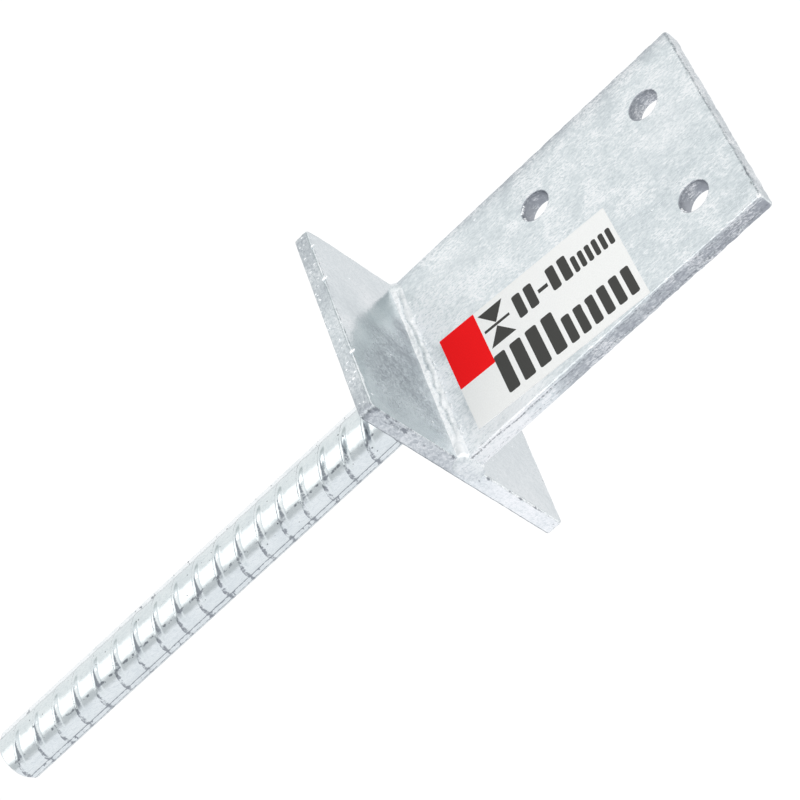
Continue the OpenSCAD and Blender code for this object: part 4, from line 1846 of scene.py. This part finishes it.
@dataclass
class Studio:
    """The plain white room: camera, floor, surroundings and one soft lamp.

    A screen of the surroundings is a compass angle in degrees, a colour and how bright it is. The rims
    are the heights of a ray's direction between which the low screens, the high ones and the roof meet.
    """

    aim_mm: tuple[float, float, float] = (-2.281, 0.0, -8.798)
    distance_mm: float = 901.97
    azimuth: float = 50.241
    elevation: float = 18.979
    roll: float = 47.396
    lens_mm: float = 124.92
    sensor_mm: float = 36.0
    floor_mm: float = -260.0
    floor_reach: float = 6.0
    lamp_place: tuple[float, float, float] = (0.3, -1.1, 1.1)
    lamp_size: float = 0.8
    lamp_watts: float = 1.5
    low_screens: tuple[tuple[float, str, float], ...] = (
        (-180, "#f9fbfc", 1.0), (-110, "#f9fbfc", 1.0), (-93, "#ffffff", 1.5), (-51, "#ffffff", 1.5),
        (-31, "#eceff2", 0.78), (-8, "#eceff2", 0.78), (8, "#fafbff", 1.03), (50, "#fafbff", 1.03),
        (118, "#f6f8fb", 0.98), (130, "#eef0f3", 0.6), (160, "#eef0f3", 0.6), (174, "#f9fbfc", 1.0))
    high_screens: tuple[tuple[float, str, float], ...] = (
        (-180, "#f3f5fb", 0.9), (-160, "#eef4f5", 0.69), (-115, "#eef4f5", 0.69), (-90, "#f6f9fb", 1.0),
        (30, "#f6f8fb", 1.0), (100, "#f5f6f8", 0.93), (160, "#f5f6f8", 0.93), (180, "#f3f5fb", 0.88))
    low_rim: tuple[float, float] = (-0.02, 0.14)
    roof_rim: tuple[float, float] = (0.45, 0.7)
    roof_light: float = 1.12

    def camera(self) -> None:
        """Adds the camera at the photograph's angle."""
        data = bpy.data.cameras.new("camera")
        data.lens = self.lens_mm
        data.sensor_width = self.sensor_mm
        data.clip_start, data.clip_end = 0.05, 50.0
        azimuth, elevation = math.radians(self.azimuth), math.radians(self.elevation)
        forward = Vector((-math.sin(azimuth) * math.cos(elevation), math.cos(azimuth) * math.cos(elevation),
                          -math.sin(elevation)))
        upright = forward.to_track_quat("-Z", "Y").to_matrix()
        turned = upright @ Matrix.Rotation(math.radians(self.roll), 3, "Z")
        camera = bpy.data.objects.new("camera", data)
        camera.matrix_world = Matrix.Translation(
            (Vector(self.aim_mm) - forward * self.distance_mm) * MM) @ turned.to_4x4()
        bpy.context.scene.collection.objects.link(camera)
        bpy.context.scene.camera = camera
        LOG.info("camera at %s", [round(v / MM, 2) for v in camera.matrix_world.translation])

    def floor(self) -> None:
        """Adds the white floor, which keeps the object's shadow. Metal sees the surroundings past it."""
        mesh = bpy.data.meshes.new("floor")
        corners = [(x * self.floor_reach, y * self.floor_reach, self.floor_mm * MM)
                   for x, y in ((-1, -1), (1, -1), (1, 1), (-1, 1))]
        mesh.from_pydata(corners, [], [(0, 1, 2, 3)])
        material = bpy.data.materials.new("white_floor_paint")
        material.use_nodes = True
        tree = material.node_tree
        tree.nodes.clear()
        paint = add(tree, "ShaderNodeBsdfDiffuse", (1.0, 1.0, 1.0, 1.0))
        add(tree, "ShaderNodeOutputMaterial", paint)
        mesh.materials.append(material)
        floor = bpy.data.objects.new("floor", mesh)
        floor.visible_glossy = False
        bpy.context.scene.collection.objects.link(floor)

    def surroundings(self) -> None:
        """Builds the world: white to the eye, and to metal a white room with soft screens round it."""
        world = bpy.data.worlds.new("room")
        bpy.context.scene.world = world
        world.use_nodes = True
        tree = world.node_tree
        tree.nodes.clear()
        way = add(tree, TO_XYZ, add(tree, "ShaderNodeTexCoord").outputs["Generated"])
        x, y, height = way.outputs
        azimuth = add(tree, MATH, y, x, operation="ARCTAN2")
        turn = add(tree, RANGE, azimuth, -math.pi, math.pi, 0.0, 1.0)
        below, above = (
            add(tree, "ShaderNodeValToRGB", turn, stops=[
                ((degrees + 180) / 360, linear(colour, light)) for degrees, colour, light in screens])
            for screens in (self.low_screens, self.high_screens))
        over_rim = add(tree, RANGE, height, *self.low_rim, 0.0, 1.0)
        under_roof = add(tree, RANGE, height, *self.roof_rim, 0.0, 1.0)
        seen = add(tree, MIX, data_type="RGBA", inputs={0: over_rim, 6: below, 7: above})
        seen = add(tree, MIX, data_type="RGBA", inputs={
            0: under_roof, 6: seen.outputs[2], 7: linear("#ffffff", self.roof_light)})
        room = add(tree, "ShaderNodeBackground", seen.outputs[2], 1.0)
        plain = add(tree, "ShaderNodeBackground", (1.0, 1.0, 1.0, 1.0), 1.0)
        rays = add(tree, "ShaderNodeLightPath")
        straight = add(tree, MATH, rays.outputs["Is Camera Ray"], rays.outputs["Is Transmission Ray"],
                       operation="MAXIMUM")
        mixed = add(tree, "ShaderNodeMixShader", straight, room, plain)
        add(tree, "ShaderNodeOutputWorld", mixed)

    def lamp(self) -> None:
        """Adds one broad soft lamp, up on the camera's side."""
        data = bpy.data.lights.new("soft_lamp", "AREA")
        data.shape = "SQUARE"
        data.size = self.lamp_size
        data.energy = self.lamp_watts
        lamp = bpy.data.objects.new("soft_lamp", data)
        place = Vector(self.lamp_place)
        towards = (-place).to_track_quat("-Z", "Y").to_matrix().to_4x4()
        lamp.matrix_world = Matrix.Translation(place) @ towards
        bpy.context.scene.collection.objects.link(lamp)


def main() -> None:
    """Builds the studio and every piece in order, and logs each one."""
    logging.basicConfig(level=logging.INFO, format="%(name)s %(message)s")
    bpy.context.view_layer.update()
    scene = bpy.context.scene
    scene.view_settings.view_transform = "Standard"
    studio = Studio()
    studio.camera()
    studio.floor()
    studio.surroundings()
    studio.lamp()

    # Flat steel that was drawn upright from the bath: pale frost over a satin skin, and a grey for the shade
    # painted on its cut walls
    blade_zinc = ZincFinish(
        "hot_dip_zinc_on_blade", deep="#d2d9dc", painted_shade="#a9adb4", painted_emboss=0.62,
        deep_frost_roughness=0.7).build()
    # Flat steel that drained level: a smoother skin with broad soft patches, which mirrors the room
    plate_zinc = ZincFinish(
        "hot_dip_zinc_on_base_plate", painted_shade="#a6abb1", painted_emboss=0.4, mottle_mm=20.0, roughness=(0.14, 0.21),
        frost_mm=(1.5, 1.5, 1.1)).build()
    # Hot-rolled bar, where the zinc ran off fast: a thin bright skin, near to a mirror, with more ash
    bar_zinc = ZincFinish(
        "hot_dip_zinc_on_rolled_bar", pale="#f0f4f4", mid="#e3e9ea", deep="#cdd5d9", painted_shade="#8d9399",
        roughness=(0.10, 0.17), dull_roughness=0.05, frost_mm=(1.4, 1.4, 1.8), frost_height_mm=0.06,
        grit_mm=0.8, ash_mm=2.2, ash_share=0.45).build()
    # Arc-welded beads: a coarse, matt and whitish crust
    weld_zinc = ZincFinish(
        "hot_dip_zinc_on_weld", mid="#f0f4f5", deep="#d2d9dc", roughness=(0.42, 0.56),
        frost_mm=(1.0, 1.0, 1.0)).build()

    blade = Blade.from_frame()
    seat(blade.build(blade_zinc, ZincCoat()), "upright_blade")
    plate = Plate.from_frame()
    seat(plate.build(plate_zinc, ZincCoat(seed=7)), "base_plate")
    bar_low, bar_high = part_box("anchor_bar")
    bar = RibbedBar(length=(bar_high.z - bar_low.z) / MM)
    seat(bar.build(bar_zinc), "anchor_bar")
    for side in Side:
        bead = BladeBead(side=side, half_length=blade.high[0] + 0.5, blade_half=blade.thickness / 2,
                         foot=blade.foot)
        seat(bead.build(weld_zinc), "blade_weld_" + side.name.lower())
    seat(BarBead(core_r=bar.core_r).build(weld_zinc), "bar_weld")

    # Coated paper printed by offset: an even off-white sheet with flat, matt ink
    paper = PrintedPaper("coated_label_paper", "#f2f2f0").build()
    red = PrintedPaper("red_offset_ink", "#f62023", gloss=0.0).build()
    dark = PrintedPaper("dark_grey_offset_ink", "#4b4b49", gloss=0.0).build()
    label = Label(face=-blade.thickness / 2).build(paper, red, dark)
    label.visible_glossy = False
    seat(label, None)


if __name__ == "__main__":
    main()
